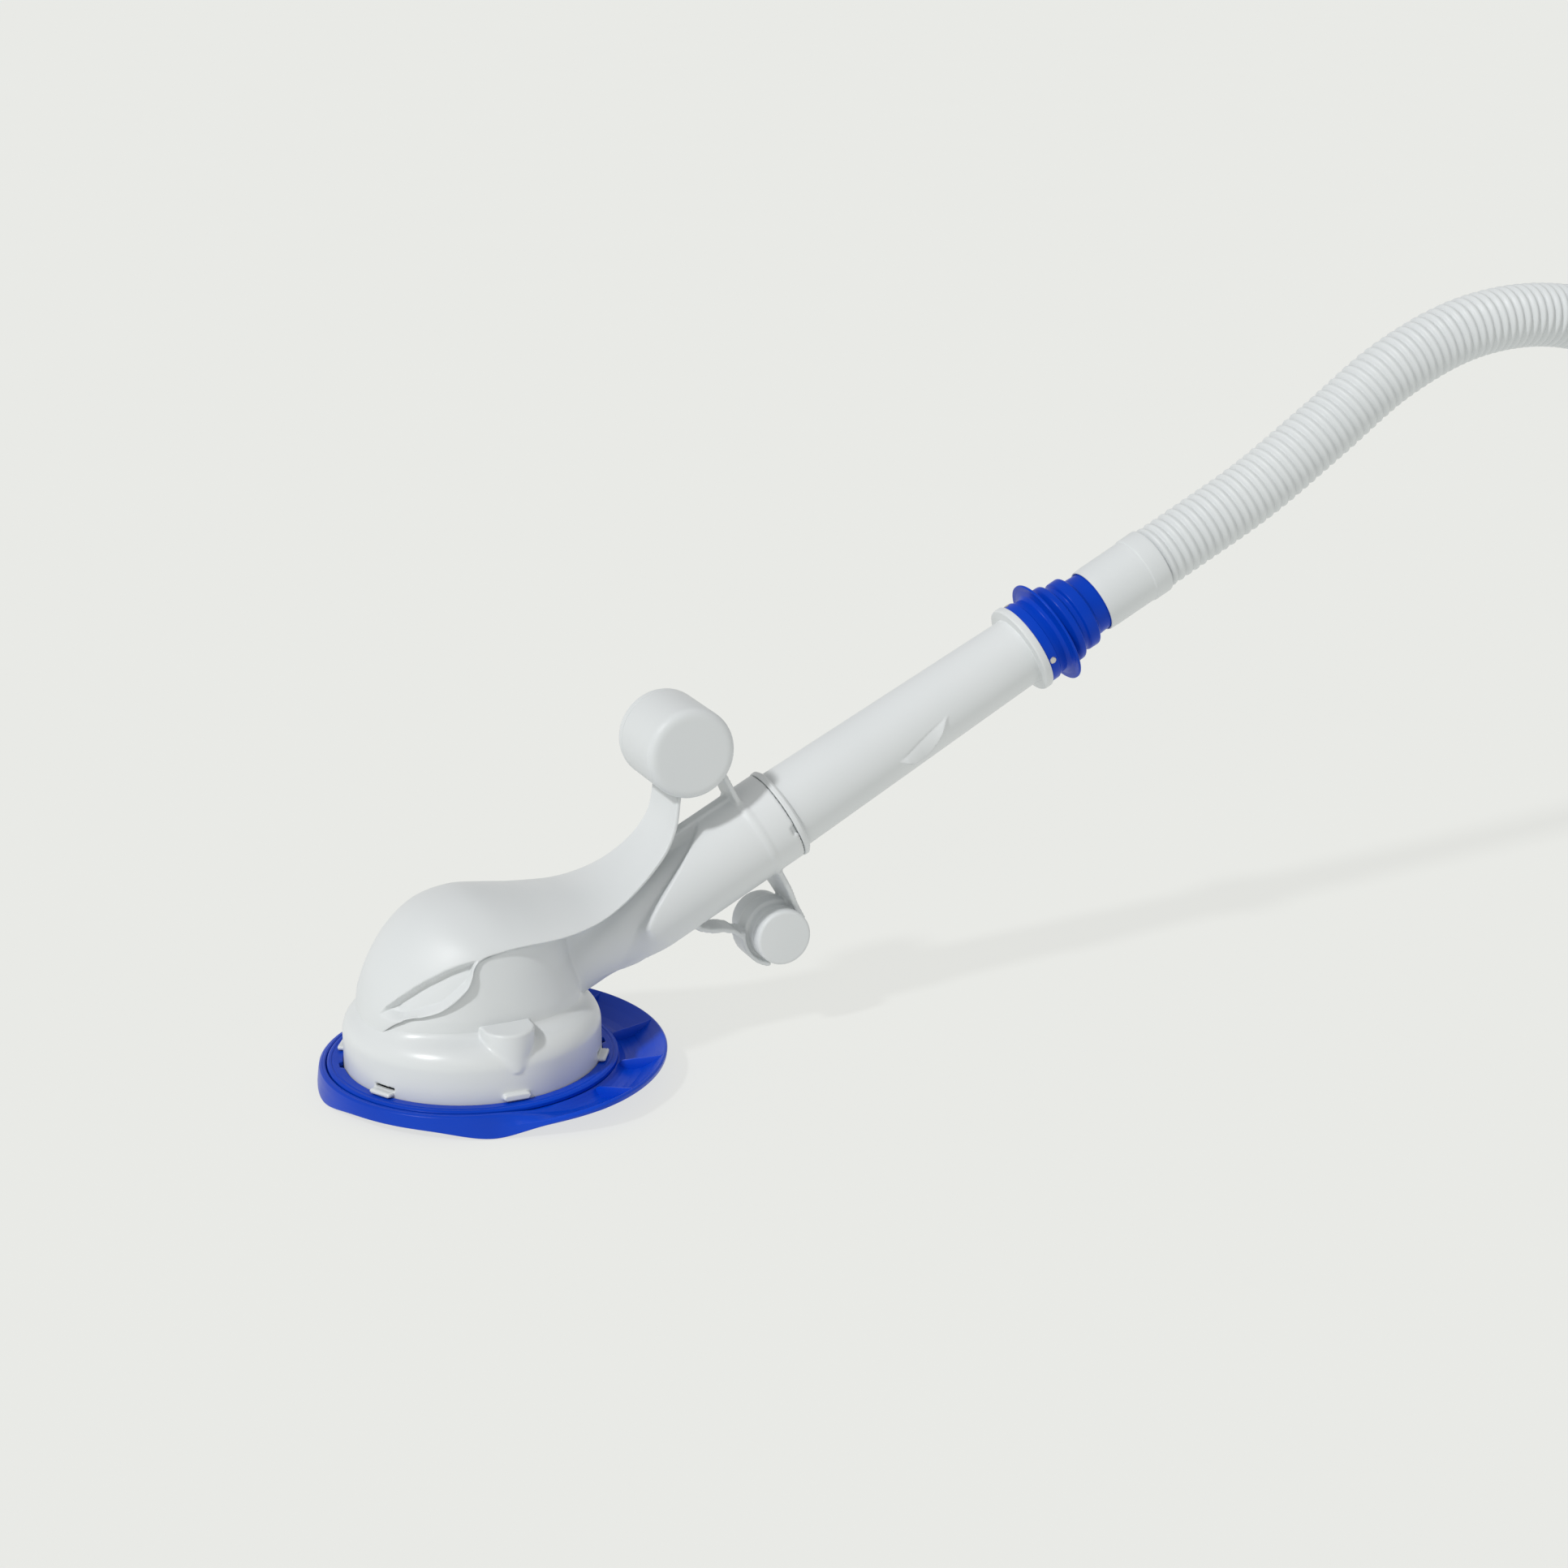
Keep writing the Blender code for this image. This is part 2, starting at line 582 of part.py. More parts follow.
def foot_plate(body):
    """The plate the cleaner slides on: mouth in the middle, water grooves underneath."""
    mouth = 0.0205
    profile = [(mouth, 0), (0.0660, 0), (0.0700, 0.0024), (0.0838, 0.0024), (0.0838, FOOT_TOP),
               (mouth, FOOT_TOP)]
    made = solid("foot_plate", turned(profile, 40), BLUE, body)
    grooves = bmesh.new()
    for angle in range(30, 360, 60):
        add_box(grooves, (0.0180, -0.0045, -0.0010), (0.0720, 0.0045, 0.0020), about_z(angle))
    shape_with(made, solid("cut_grooves", grooves, BLUE, body), "DIFFERENCE")
    shape_with(made, screw_holes("cut_screw_seats", 0.0037, -0.0010, 0.0024, body), "DIFFERENCE")
    return shape_with(made, screw_holes("cut_foot_holes", 0.0018, -0.0010, 0.0100, body), "DIFFERENCE")


def foot_screws(body):
    for number, angle in enumerate(FOOT_SCREW_ANGLES, 1):
        profile = [(0, 0.0004), (0.0030, 0.0004), (0.0034, 0.0010), (0.0034, 0.0021),
                   (0.0013, 0.0021), (0.0013, 0.0180), (0, 0.0190)]
        place = about_z(angle) @ Matrix.Translation((FOOT_SCREW_RADIUS, 0, 0))
        solid(f"foot_screw_{number}", turned(profile, 12), STEEL, body, place)


# ---------------------------------------------------------------- water way
def throat_chamber(body, tube):
    """Upright throat from the mouth with a slanted outlet that takes the inner tube."""
    low = FOOT_TOP + GAP
    made = solid("throat_chamber", turned([
        (0, low), (0.0300, low), (0.0300, low + 0.0025), (0.0252, low + 0.0025), (0.0252, 0.0720),
        (0.0212, 0.0760), (0, 0.0760),
    ], 24), WHITE, body, about_z(7.5))
    shape_with(made, solid("cut_outlet", rod(0.0213, 0.0050, 0.0600, 24), WHITE, tube), "UNION")
    shape_with(made, solid("cut_throat", rod(0.0226, 0, 0.0727, 24), WHITE, body, about_z(7.5)), "DIFFERENCE")
    shape_with(made, solid("cut_outlet_bore", rod(0.0189, 0.0060, 0.0700, 24), WHITE, tube), "DIFFERENCE")
    hole = rod(HAMMER_PIN_RADIUS + 0.0003, -0.030, 0.030, 16)
    at_pin = Matrix.Translation((0, 0, HAMMER_Z)) @ ALONG_Y
    return shape_with(made, solid("cut_pin_hole", hole, WHITE, body, at_pin), "DIFFERENCE")


def hammer(swing, body):
    """The flap that beats in the throat, and the pin it swings on."""
    made = solid("hammer", rod(0.0050, -0.0130, 0.0130, 20), ACETAL, swing, ALONG_Y)
    paddle = prism([(-0.0024, 0.0), (0.0024, 0.0), (0.0032, -0.0220), (0.0020, -0.0300),
                    (-0.0020, -0.0300), (-0.0032, -0.0220)], -0.0128, 0.0128)
    shape_with(made, solid("cut_paddle", paddle, ACETAL, swing), "UNION")
    bore = rod(HAMMER_PIN_RADIUS + 0.0001, -0.020, 0.020, 24)
    shape_with(made, solid("cut_hammer_bore", bore, ACETAL, swing, ALONG_Y), "DIFFERENCE")
    pin = rod(HAMMER_PIN_RADIUS, -0.0246, 0.0246, 24)
    solid("hammer_pin", pin, STEEL, body, Matrix.Translation((0, 0, HAMMER_Z)) @ ALONG_Y)
    return made


def tubes(tube):
    """Outer tube with its collar, flange and spigot; the seal on it; the inner tube."""
    outer = [
        (0.0272, 0.2150), (0.0272, 0.2200), (0.0258, 0.2200), (0.0258, 0.2226), (0.0272, 0.2226),
        (0.0272, NECK_END + GAP), (COLLAR_RADIUS - 0.0004, NECK_END + GAP),
        (COLLAR_RADIUS, NECK_END + 0.0010), (COLLAR_RADIUS, NECK_END + 0.0034),
        (COLLAR_RADIUS - 0.0006, NECK_END + 0.0042), (TUBE_RADIUS_LOW, NECK_END + 0.0046),
        (TUBE_RADIUS_HIGH, FLANGE_START), (FLANGE_RADIUS - 0.0006, FLANGE_START),
        (FLANGE_RADIUS, FLANGE_START + 0.0008), (FLANGE_RADIUS, FLANGE_END),
        (0.0252, FLANGE_END), (0.0252, FLANGE_END + 0.0077), (0.0208, FLANGE_END + 0.0077),
        (0.0208, FLANGE_START - 0.0030), (0.0245, 0.2150),
    ]
    made = solid("outer_tube", turned(outer, 24), WHITE, tube)
    shape_with(made, radial_rods("cut_tube_pilots", 0.0016, 0.0190, 0.0270, tube), "DIFFERENCE")
    seal = turned(arc((0.02665, 0.2213), 0.0006, 0, 300, 5), 24)
    solid("tube_seal", seal, RUBBER, tube)
    inner = [(0.0162, 0.0480), (0.0185, 0.0480), (0.0185, 0.4380), (0.0162, 0.4380)]
    solid("inner_tube", turned(inner, 24), WHITE, tube)
    return made


# ---------------------------------------------------------------- float and ballast
def float_pieces(body):
    place = Matrix.Translation((FLOAT_X, 0, FLOAT_Z)) @ ALONG_Y
    bore = FLOAT_RADIUS - WALL
    corner = 0.0055
    joint = 0.0200
    shell = [(0, -FLOAT_HALF)]
    shell += arc((FLOAT_RADIUS - corner, -FLOAT_HALF + corner), corner, -90, 0, 4)
    shell += [(FLOAT_RADIUS, joint), (bore, joint), (bore, -FLOAT_HALF + 0.0050),
              (bore - 0.0030, -FLOAT_HALF + WALL), (0, -FLOAT_HALF + WALL)]
    solid("float_shell", turned(shell, 24), WHITE, body, place)
    cap = [(0, FLOAT_HALF)]
    cap += arc((FLOAT_RADIUS - corner, FLOAT_HALF - corner), corner, 90, 0, 4)
    cap += [(FLOAT_RADIUS, joint + GAP), (bore - GAP, joint + GAP), (bore - GAP, joint - 0.0050),
            (bore - 0.0024, joint - 0.0050), (bore - 0.0024, FLOAT_HALF - WALL), (0, FLOAT_HALF - WALL)]
    solid("float_cap", turned(cap, 24), WHITE, body, place)


def ballast_pieces(body):
    place = Matrix.Translation((POD_X, 0, POD_Z)) @ ALONG_Y
    face = -POD_HALF
    joint = face + 0.0090 - GAP
    bore = POD_RADIUS - WALL - GAP
    cap = [(0, face)]
    cap += arc((POD_RADIUS - 0.0022, face + 0.0022), 0.0022, -90, 0, 3)
    cap += [(POD_RADIUS, joint), (bore, joint), (bore, joint + 0.0035), (0, joint + 0.0035)]
    solid("ballast_cap", turned(cap, 24), WHITE, body, place)
    slug = rod(bore, joint + 0.0035 + GAP, POD_HALF - 0.0033, 24)
    solid("ballast_slug", slug, LEAD, body, place)


# ---------------------------------------------------------------- swivel
SCREW_ALONG = 0.4358
SCREW_TURNS = (-100, 20, 140)   # about the tube, from its upper side; the near one shows


def radial_rods(name, radius, inside, outside, parent, along=SCREW_ALONG, sides=12):
    """Guides for the three screws that run inward through the swivel housing."""
    rods = bmesh.new()
    for turn in SCREW_TURNS:
        one = rod(radius, inside, outside, sides)
        one.transform(screw_place(turn, along))
        join_into(rods, one)
    return solid(name, rods, WHITE, parent)


def screw_place(turn, along=SCREW_ALONG):
    """Turns a piece's Z axis outward from the tube at one angle."""
    return on_tube(along) @ about_z(-turn) @ Matrix.Rotation(math.pi / 2, 4, "Y")


def swivel_housing(tube):
    """Fixed half of the swivel: a collar on the tube's flange that ends in the deflector disc."""
    start = FLANGE_END + GAP
    lip = 0.0213
    profile = [
        (0.0255, start), (0.0285, start), (0.0285, 0.4384), (0.0278, 0.4388), (0.0278, 0.4450),
        (0.0262, 0.4465), (0.0254, 0.4478), (0.0264, 0.4486), (0.0300, 0.4490), (0.0337, 0.4487),
        (0.0343, 0.4494), (0.0343, 0.4508), (0.0336, 0.4516), (lip, 0.4516), (lip, 0.4450),
        (0.0255, 0.4450),
    ]
    made = solid("swivel_housing", turned(profile, 24), BLUE, tube)
    shape_with(made, radial_rods("cut_head_seats", 0.0032, 0.0272, 0.0330, tube), "DIFFERENCE")
    shape_with(made, radial_rods("cut_shank_holes", 0.0018, 0.0240, 0.0330, tube), "DIFFERENCE")
    for number, turn in enumerate(SCREW_TURNS, 1):
        screw = [(0, 0.0205), (0.0013, 0.0215), (0.0013, 0.0275), (0.0029, 0.0275), (0.0029, 0.0283),
                 (0.0020, 0.0290), (0, 0.0292)]
        solid(f"swivel_screw_{number}", turned(screw, 12), STEEL, tube, screw_place(turn))
    washer = [(0.0214, 0.4405), (0.0249, 0.4405), (0.0249, 0.4417), (0.0214, 0.4417)]
    solid("swivel_washer", turned(washer, 24), ACETAL, tube)
    return made


def swivel_tail(spin):
    """Turning half of the swivel: retained flange, two ridges and the spigot for the hose."""
    bore = 0.0164
    profile = [
        (bore, 0.4420), (0.0249, 0.4420), (0.0249, 0.4446), (0.0209, 0.4446), (0.0209, 0.4545),
        (0.0255, 0.4553), (0.0275, 0.4572), (0.0277, 0.4598), (0.0268, 0.4620), (0.0236, 0.4632),
        (0.0236, 0.4660), (0.0251, 0.4672), (0.0252, 0.4750), (0.0240, 0.4765), (TAIL_RADIUS, 0.4775),
        (TAIL_RADIUS, 0.5110), (TAIL_RADIUS - 0.0008, 0.5120), (bore, 0.5120),
    ]
    solid("swivel_tail", turned(profile, 24), BLUE, spin, on_tube(-SWIVEL_JOINT))


SWIVEL_JOINT = 0.4432


# ---------------------------------------------------------------- hose
def cuff_outline(start, bore_depth):
    """A hose cuff's closed outline along its axis from its mouth."""
    end = start + CUFF_LENGTH
    return [
        (0.02085, start), (CUFF_RADIUS - 0.0008, start), (CUFF_RADIUS - 0.0003, start + 0.0006),
        (CUFF_RADIUS - 0.0003, start + 0.0330), (CUFF_RADIUS + 0.0003, start + 0.0345),
        (CUFF_RADIUS + 0.0003, end - 0.0012), (CUFF_RADIUS - 0.0009, end), (0.0172, end),
        (0.0172, start + bore_depth), (0.02085, start + bore_depth),
    ]


def hose_pieces(body, spin):
    """The near cuff on the swivel's spigot, the hose tube and the far cuff lying on the floor."""
    near = turned(cuff_outline(CUFF_START, 0.0270), 24)
    solid("hose_cuff_near", near, WHITE, spin, on_tube(-SWIVEL_JOINT))

    curve = bpy.data.curves.new("hose_tube", "CURVE")
    curve.dimensions = "3D"
    curve.bevel_depth = HOSE_RADIUS
    curve.bevel_resolution = 3
    curve.use_fill_caps = True
    line = smooth_line(HOSE_ROUTE, HOSE_POINTS)
    spline = curve.splines.new("POLY")
    spline.points.add(len(line) - 1)
    for point, place in zip(spline.points, line):
        point.co = (*place, 1.0)
    curve.materials.append(bpy.data.materials[WHITE])
    tube = bpy.data.objects.new("hose_tube", curve)
    bpy.context.collection.objects.link(tube)
    tube.parent = body

    heading = Matrix.Rotation(FLOOR_CUFF_HEADING, 4, "Z")
    run = heading @ Vector((1, 0, 0))
    end = Vector(HOSE_ROUTE[-1]) + run * (2 * GAP + CUFF_LENGTH)
    place = (
        Matrix.Translation((end.x, end.y, CUFF_RADIUS + 0.0003)) @ heading
        @ Matrix.Rotation(-math.pi / 2, 4, "Y")
    )
    solid("hose_cuff_far", turned(cuff_outline(0, 0.0270), 24), WHITE, body, place)


# ---------------------------------------------------------------- the whole cleaner
def build():
    clear_scene()
    for finish in FINISHES:
        material(finish)
    body = empty("pool_cleaner", matrix=Matrix.Translation((-BODY_TO_ORIGIN, 0, 0)))
    tube = empty("tube_axis", body, TUBE_FRAME)
    disc = empty("disc_joint", body, Matrix.Translation((0, 0, DISC_JOINT_Z)))
    swing = empty("hammer_joint", body, Matrix.Translation((0, 0, HAMMER_Z)))
    spin = empty("swivel_joint", tube, on_tube(SWIVEL_JOINT))

    base_shell(body, tube)
    chamber_body(body, tube)
    cowl(body)
    skirt_disc(disc)
    retaining_ring(disc)
    foot_plate(body)
    foot_screws(body)
    throat_chamber(body, tube)
    hammer(swing, body)
    tubes(tube)
    float_pieces(body)
    ballast_pieces(body)
    swivel_housing(tube)
    swivel_tail(spin)
    hose_pieces(body, spin)


build()
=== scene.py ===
"""Looks for the pool cleaner: glossy white mouldings on a blue disc, a tube with a float and a
ballast pod, a blue hose swivel and one ribbed hose section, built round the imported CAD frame.

Shapes are worked out in millimetres from the vertical centre line of the round body, with the tube
leaning towards +X, and are put in the row frame in metres.
"""

import math

import bmesh
import bpy
import numpy as np
from mathutils import Matrix, Vector


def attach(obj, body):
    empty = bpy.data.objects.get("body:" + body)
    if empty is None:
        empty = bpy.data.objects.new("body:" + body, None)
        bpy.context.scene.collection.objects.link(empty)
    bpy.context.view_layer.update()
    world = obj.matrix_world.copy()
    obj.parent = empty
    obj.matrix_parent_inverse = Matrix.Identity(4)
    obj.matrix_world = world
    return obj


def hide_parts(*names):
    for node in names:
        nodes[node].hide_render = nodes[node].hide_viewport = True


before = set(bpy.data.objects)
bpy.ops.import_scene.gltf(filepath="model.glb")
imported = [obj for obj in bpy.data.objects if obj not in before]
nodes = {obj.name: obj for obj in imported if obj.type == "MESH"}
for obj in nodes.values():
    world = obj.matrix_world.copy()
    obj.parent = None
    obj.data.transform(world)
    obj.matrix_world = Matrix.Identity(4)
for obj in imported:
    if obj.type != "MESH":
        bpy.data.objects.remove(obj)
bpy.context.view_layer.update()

# ---------------------------------------------------------------- places shared with the CAD
MM = 0.001
BODY_X = -0.1829                       # the body's centre line in the row frame
TILT = math.radians(27.5)
RISE = 35.7                            # where the tube's axis crosses the body's centre line, mm
COS, SIN = math.cos(TILT), math.sin(TILT)
BODY = Matrix.Translation((BODY_X, 0, 0)) @ Matrix.Scale(MM, 4)
TUBE = (
    BODY @ Matrix.Translation((0, 0, RISE)) @ Matrix.Rotation(math.pi / 2 - TILT, 4, "Y")
    @ Matrix.Rotation(math.pi, 4, "Z")
)                                      # Z up the tube, X away from the floor
ALONG_Y = Matrix.Rotation(math.radians(-90), 4, "X")

ROOT, DISC, SWIVEL = "cleaner_body", "disc", "swivel"


# ---------------------------------------------------------------- camera
SENSOR_WIDTH, FOCAL_LENGTH = 36, 66.56            # mm
CAMERA_PLACE = (-0.49852517 + BODY_X, -1.60432112, 0.72959541)
CAMERA_AXES = ((0.9144, -0.4048, 0), (0.1243, 0.2807, 0.9517), (-0.3853, -0.8702, 0.3070))


def add_camera():
    """The camera at the photo's viewing angle; its axes point right, up and back."""
    data = bpy.data.cameras.new("camera")
    data.sensor_width = SENSOR_WIDTH
    data.lens = FOCAL_LENGTH
    data.clip_end = 200
    camera = bpy.data.objects.new("camera", data)
    turn = Matrix(CAMERA_AXES).transposed().to_4x4()
    camera.matrix_world = Matrix.Translation(CAMERA_PLACE) @ turn
    bpy.context.collection.objects.link(camera)
    bpy.context.scene.camera = camera


add_camera()


# ---------------------------------------------------------------- materials
class Nodes:
    """Shorthand for wiring one material."""

    def __init__(self, name):
        self.material = bpy.data.materials.new(name)
        self.material.use_nodes = True
        self.tree = self.material.node_tree
        self.shader = self.tree.nodes["Principled BSDF"]
        self.coordinate = self.tree.nodes.new("ShaderNodeTexCoord")

    def link(self, source, target):
        self.tree.links.new(source, target)

    def noise(self, scale, detail, rough=0.5):
        node = self.tree.nodes.new("ShaderNodeTexNoise")
        node.inputs["Scale"].default_value = scale
        node.inputs["Detail"].default_value = detail
        node.inputs["Roughness"].default_value = rough
        self.link(self.coordinate.outputs["Object"], node.inputs["Vector"])
        return node.outputs["Fac"]

    def spread(self, source, low, high, start, end):
        """The source's range from start to end, mapped on low to high."""
        node = self.tree.nodes.new("ShaderNodeMapRange")
        limits = {"From Min": start, "From Max": end, "To Min": low, "To Max": high}
        for key, value in limits.items():
            node.inputs[key].default_value = value
        self.link(source, node.inputs["Value"])
        return node.outputs["Result"]

    def mixed(self, factor, a, b):
        """Colour a where the factor is 0 and colour b where it is 1."""
        node = self.tree.nodes.new("ShaderNodeMix")
        node.data_type = "RGBA"
        self.link(factor, node.inputs[0])
        for socket, colour in ((6, a), (7, b)):
            node.inputs[socket].default_value = (*colour, 1)
        return node.outputs[2]

    def bump(self, sources):
        """Chains bumps of (height, strength, distance in metres)."""
        normal = None
        for height, strength, distance in sources:
            node = self.tree.nodes.new("ShaderNodeBump")
            node.inputs["Strength"].default_value = strength
            node.inputs["Distance"].default_value = distance
            self.link(height, node.inputs["Height"])
            if normal is not None:
                self.link(normal, node.inputs["Normal"])
            normal = node.outputs["Normal"]
        self.link(normal, self.shader.inputs["Normal"])

    def set(self, **values):
        for key, value in values.items():
            socket = self.shader.inputs[key.replace("_", " ")]
            if isinstance(value, bpy.types.NodeSocket):
                self.link(value, socket)
            else:
                socket.default_value = (*value, 1) if isinstance(value, tuple) else value


def moulded_plastic(name, colour, shade, roughness, ripple=0.10, specular=0.45, grain=0.05):
    """Injection-moulded plastic: slow colour drift, flow ripple, fine grain, a few dull scuffs."""
    m = Nodes(name)
    drift = m.noise(9.0, 2.0)
    base = m.mixed(m.spread(drift, 0.0, 1.0, 0.35, 0.65), colour, shade)
    scuffs = m.noise(140.0, 5.0, 0.7)
    dull = m.spread(scuffs, roughness * 0.93, roughness * 1.12, 0.30, 0.72)
    m.set(Base_Color=base, Roughness=dull, Specular_IOR_Level=specular)
    m.bump([
        (m.noise(28.0, 1.0), ripple, 0.0020),
        (m.noise(2600.0, 2.0), grain, 0.0001),
    ])
    return m.material


def metal(name, colour, roughness, grain):
    """Bare metal with a grain that darkens and dulls it in spots."""
    m = Nodes(name)
    streak = m.noise(grain, 4.0, 0.65)
    base = m.mixed(m.spread(streak, 0.0, 1.0, 0.3, 0.7), colour, tuple(0.72 * c for c in colour))
    dull = m.spread(streak, roughness, roughness * 1.7, 0.3, 0.7)
    m.set(Base_Color=base, Metallic=1.0, Roughness=dull)
    m.bump([(streak, 0.12, 0.0002)])
    return m.material


WHITE = (0.700, 0.722, 0.730)
WHITE_SHADE = (0.668, 0.694, 0.703)
BLUE = (0.0004, 0.056, 0.570)
BLUE_SHADE = (0.0003, 0.043, 0.450)

# Plastics: colour, its shade, roughness, then ripple, specular level and grain where they differ.
PLASTICS = {
    "white_shell": (WHITE, WHITE_SHADE, 0.42, 0.08, 0.35),
    "white_gloss": (WHITE, WHITE_SHADE, 0.30, 0.04, 0.45, 0.01),
    "blue_moulding": (BLUE, BLUE_SHADE, 0.32, 0.14, 0.12),
    "disc_vinyl": (BLUE, BLUE_SHADE, 0.30, 0.22, 0.22),
    "hose_plastic": ((0.69, 0.715, 0.72), WHITE_SHADE, 0.42, 0.08, 0.35),
    "wear_plastic": ((0.72, 0.73, 0.72), (0.66, 0.67, 0.66), 0.42),
    "seal_rubber": ((0.020, 0.020, 0.021), (0.03, 0.03, 0.03), 0.6),
}
# Metals: colour, roughness and the scale of the grain.
METALS = {
    "screw_steel": ((0.68, 0.66, 0.63), 0.20, 900.0),
    "ballast_metal": ((0.24, 0.25, 0.27), 0.45, 300.0),
}
MATERIALS = {name: moulded_plastic(name + "_look", *look) for name, look in PLASTICS.items()}
MATERIALS.update({name: metal(name + "_look", *look) for name, look in METALS.items()})


# ---------------------------------------------------------------- mesh tools
def piece(name, verts, faces, body, finish, matrix, replaces, sharp):
    """Makes a mesh object in the row frame, gives it its finish and hangs it on its CAD body."""
    mesh = bpy.data.meshes.new(name)
    placed = np.asarray(verts, float)
    turn = np.array(matrix)
    placed = placed @ turn[:3, :3].T + turn[:3, 3]
    mesh.from_pydata(placed.tolist(), [], [tuple(f) for f in faces])
    mesh.update()
    mesh.validate()
    bm = bmesh.new()
    bm.from_mesh(mesh)
    bmesh.ops.recalc_face_normals(bm, faces=bm.faces)
    bm.to_mesh(mesh)
    bm.free()
    mesh.shade_smooth()
    if sharp < 180:
        mesh.set_sharp_from_angle(angle=math.radians(sharp))
    mesh.materials.append(MATERIALS[finish])
    made = bpy.data.objects.new(name, mesh)
    bpy.context.collection.objects.link(made)
    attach(made, body)
    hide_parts(*replaces)
    return made


def rounded(outline, steps=5):
    """A closed outline of (radius, height, corner radius) with its corners turned into arcs."""
    points = []
    count = len(outline)
    for k, (r, z, size) in enumerate(outline):
        here = np.array((r, z), float)
        before = np.array(outline[k - 1][:2], float) - here
        after = np.array(outline[(k + 1) % count][:2], float) - here
        la, lb = np.linalg.norm(before), np.linalg.norm(after)
        if size <= 0 or la < 1e-9 or lb < 1e-9:
            points.append(tuple(here))
            continue
        ua, ub = before / la, after / lb
        turn = math.acos(float(np.clip(ua @ ub, -1, 1)))
        reach = min(size / max(math.tan(turn / 2), 1e-6), 0.48 * la, 0.48 * lb)
        start, end = here + ua * reach, here + ub * reach
        for i in range(steps + 1):
            t = i / steps
            points.append(tuple((1 - t) ** 2 * start + 2 * t * (1 - t) * here + t**2 * end))
    return points


def turned(outline, segments=112):
    """Vertices and faces of a closed (radius, height) outline turned about Z."""
    ring = []
    verts = []
    for r, z in outline:
        if r < 1e-6:
            ring.append([len(verts)] * segments)
            verts.append((0, 0, z))
        else:
            first = len(verts)
            ring.append(list(range(first, first + segments)))
            for k in range(segments):
                a = 2 * math.pi * k / segments
                verts.append((r * math.cos(a), r * math.sin(a), z))
    faces = []
    for low, high in zip(ring, ring[1:] + ring[:1]):
        for k in range(segments):
            after = (k + 1) % segments
            corners = list(dict.fromkeys((low[k], low[after], high[after], high[k])))
            if len(corners) > 2:
                faces.append(corners)
    return verts, faces


def skinned(rows, closed_rows=False, caps=False):
    """Vertices and faces of a skin over equal closed rings of points."""
    rows = [np.asarray(row, float) for row in rows]
    count = len(rows[0])
    verts = np.concatenate(rows)
    faces = []
    last = len(rows) if closed_rows else len(rows) - 1
    for i in range(last):
        a, b = i * count, ((i + 1) % len(rows)) * count
        for k in range(count):
            n = (k + 1) % count
            faces.append((a + k, a + n, b + n, b + k))
    if caps:
        faces.append(tuple(range(count))[::-1])
        faces.append(tuple(range((len(rows) - 1) * count, len(rows) * count)))
    return verts, faces


# ---------------------------------------------------------------- blended solids
def blend_min(a, b, width):
    """The union of two distance fields, with a fillet about as wide as given."""
    h = np.clip(0.5 + 0.5 * (b - a) / width, 0, 1)
    return b * (1 - h) + a * h - width * h * (1 - h)


def blend_max(a, b, width):
    """What two distance fields have in common, with a rounded edge."""
    return -blend_min(-a, -b, width)


def smoothstep(value):
    value = np.clip(value, 0.0, 1.0)
    return value * value * (3 - 2 * value)


def in_box(x, y, z, centre, half, corner):
    """Distance to a box with rounded edges."""
    q = [np.abs(p - c) - (h - corner) for p, c, h in zip((x, y, z), centre, half)]
    outside = np.sqrt(sum(np.maximum(v, 0) ** 2 for v in q))
    return outside + np.minimum(np.maximum(np.maximum(q[0], q[1]), q[2]), 0) - corner


def in_disc(radial, along, radius, low, high, corner):
    """Distance to a cylinder, from a point's distance to its axis and its place along it."""
    q0 = radial - (radius - corner)
    q1 = np.abs(along - (low + high) / 2) - ((high - low) / 2 - corner)
    outside = np.sqrt(np.maximum(q0, 0) ** 2 + np.maximum(q1, 0) ** 2)
    return outside + np.minimum(np.maximum(q0, q1), 0) - corner


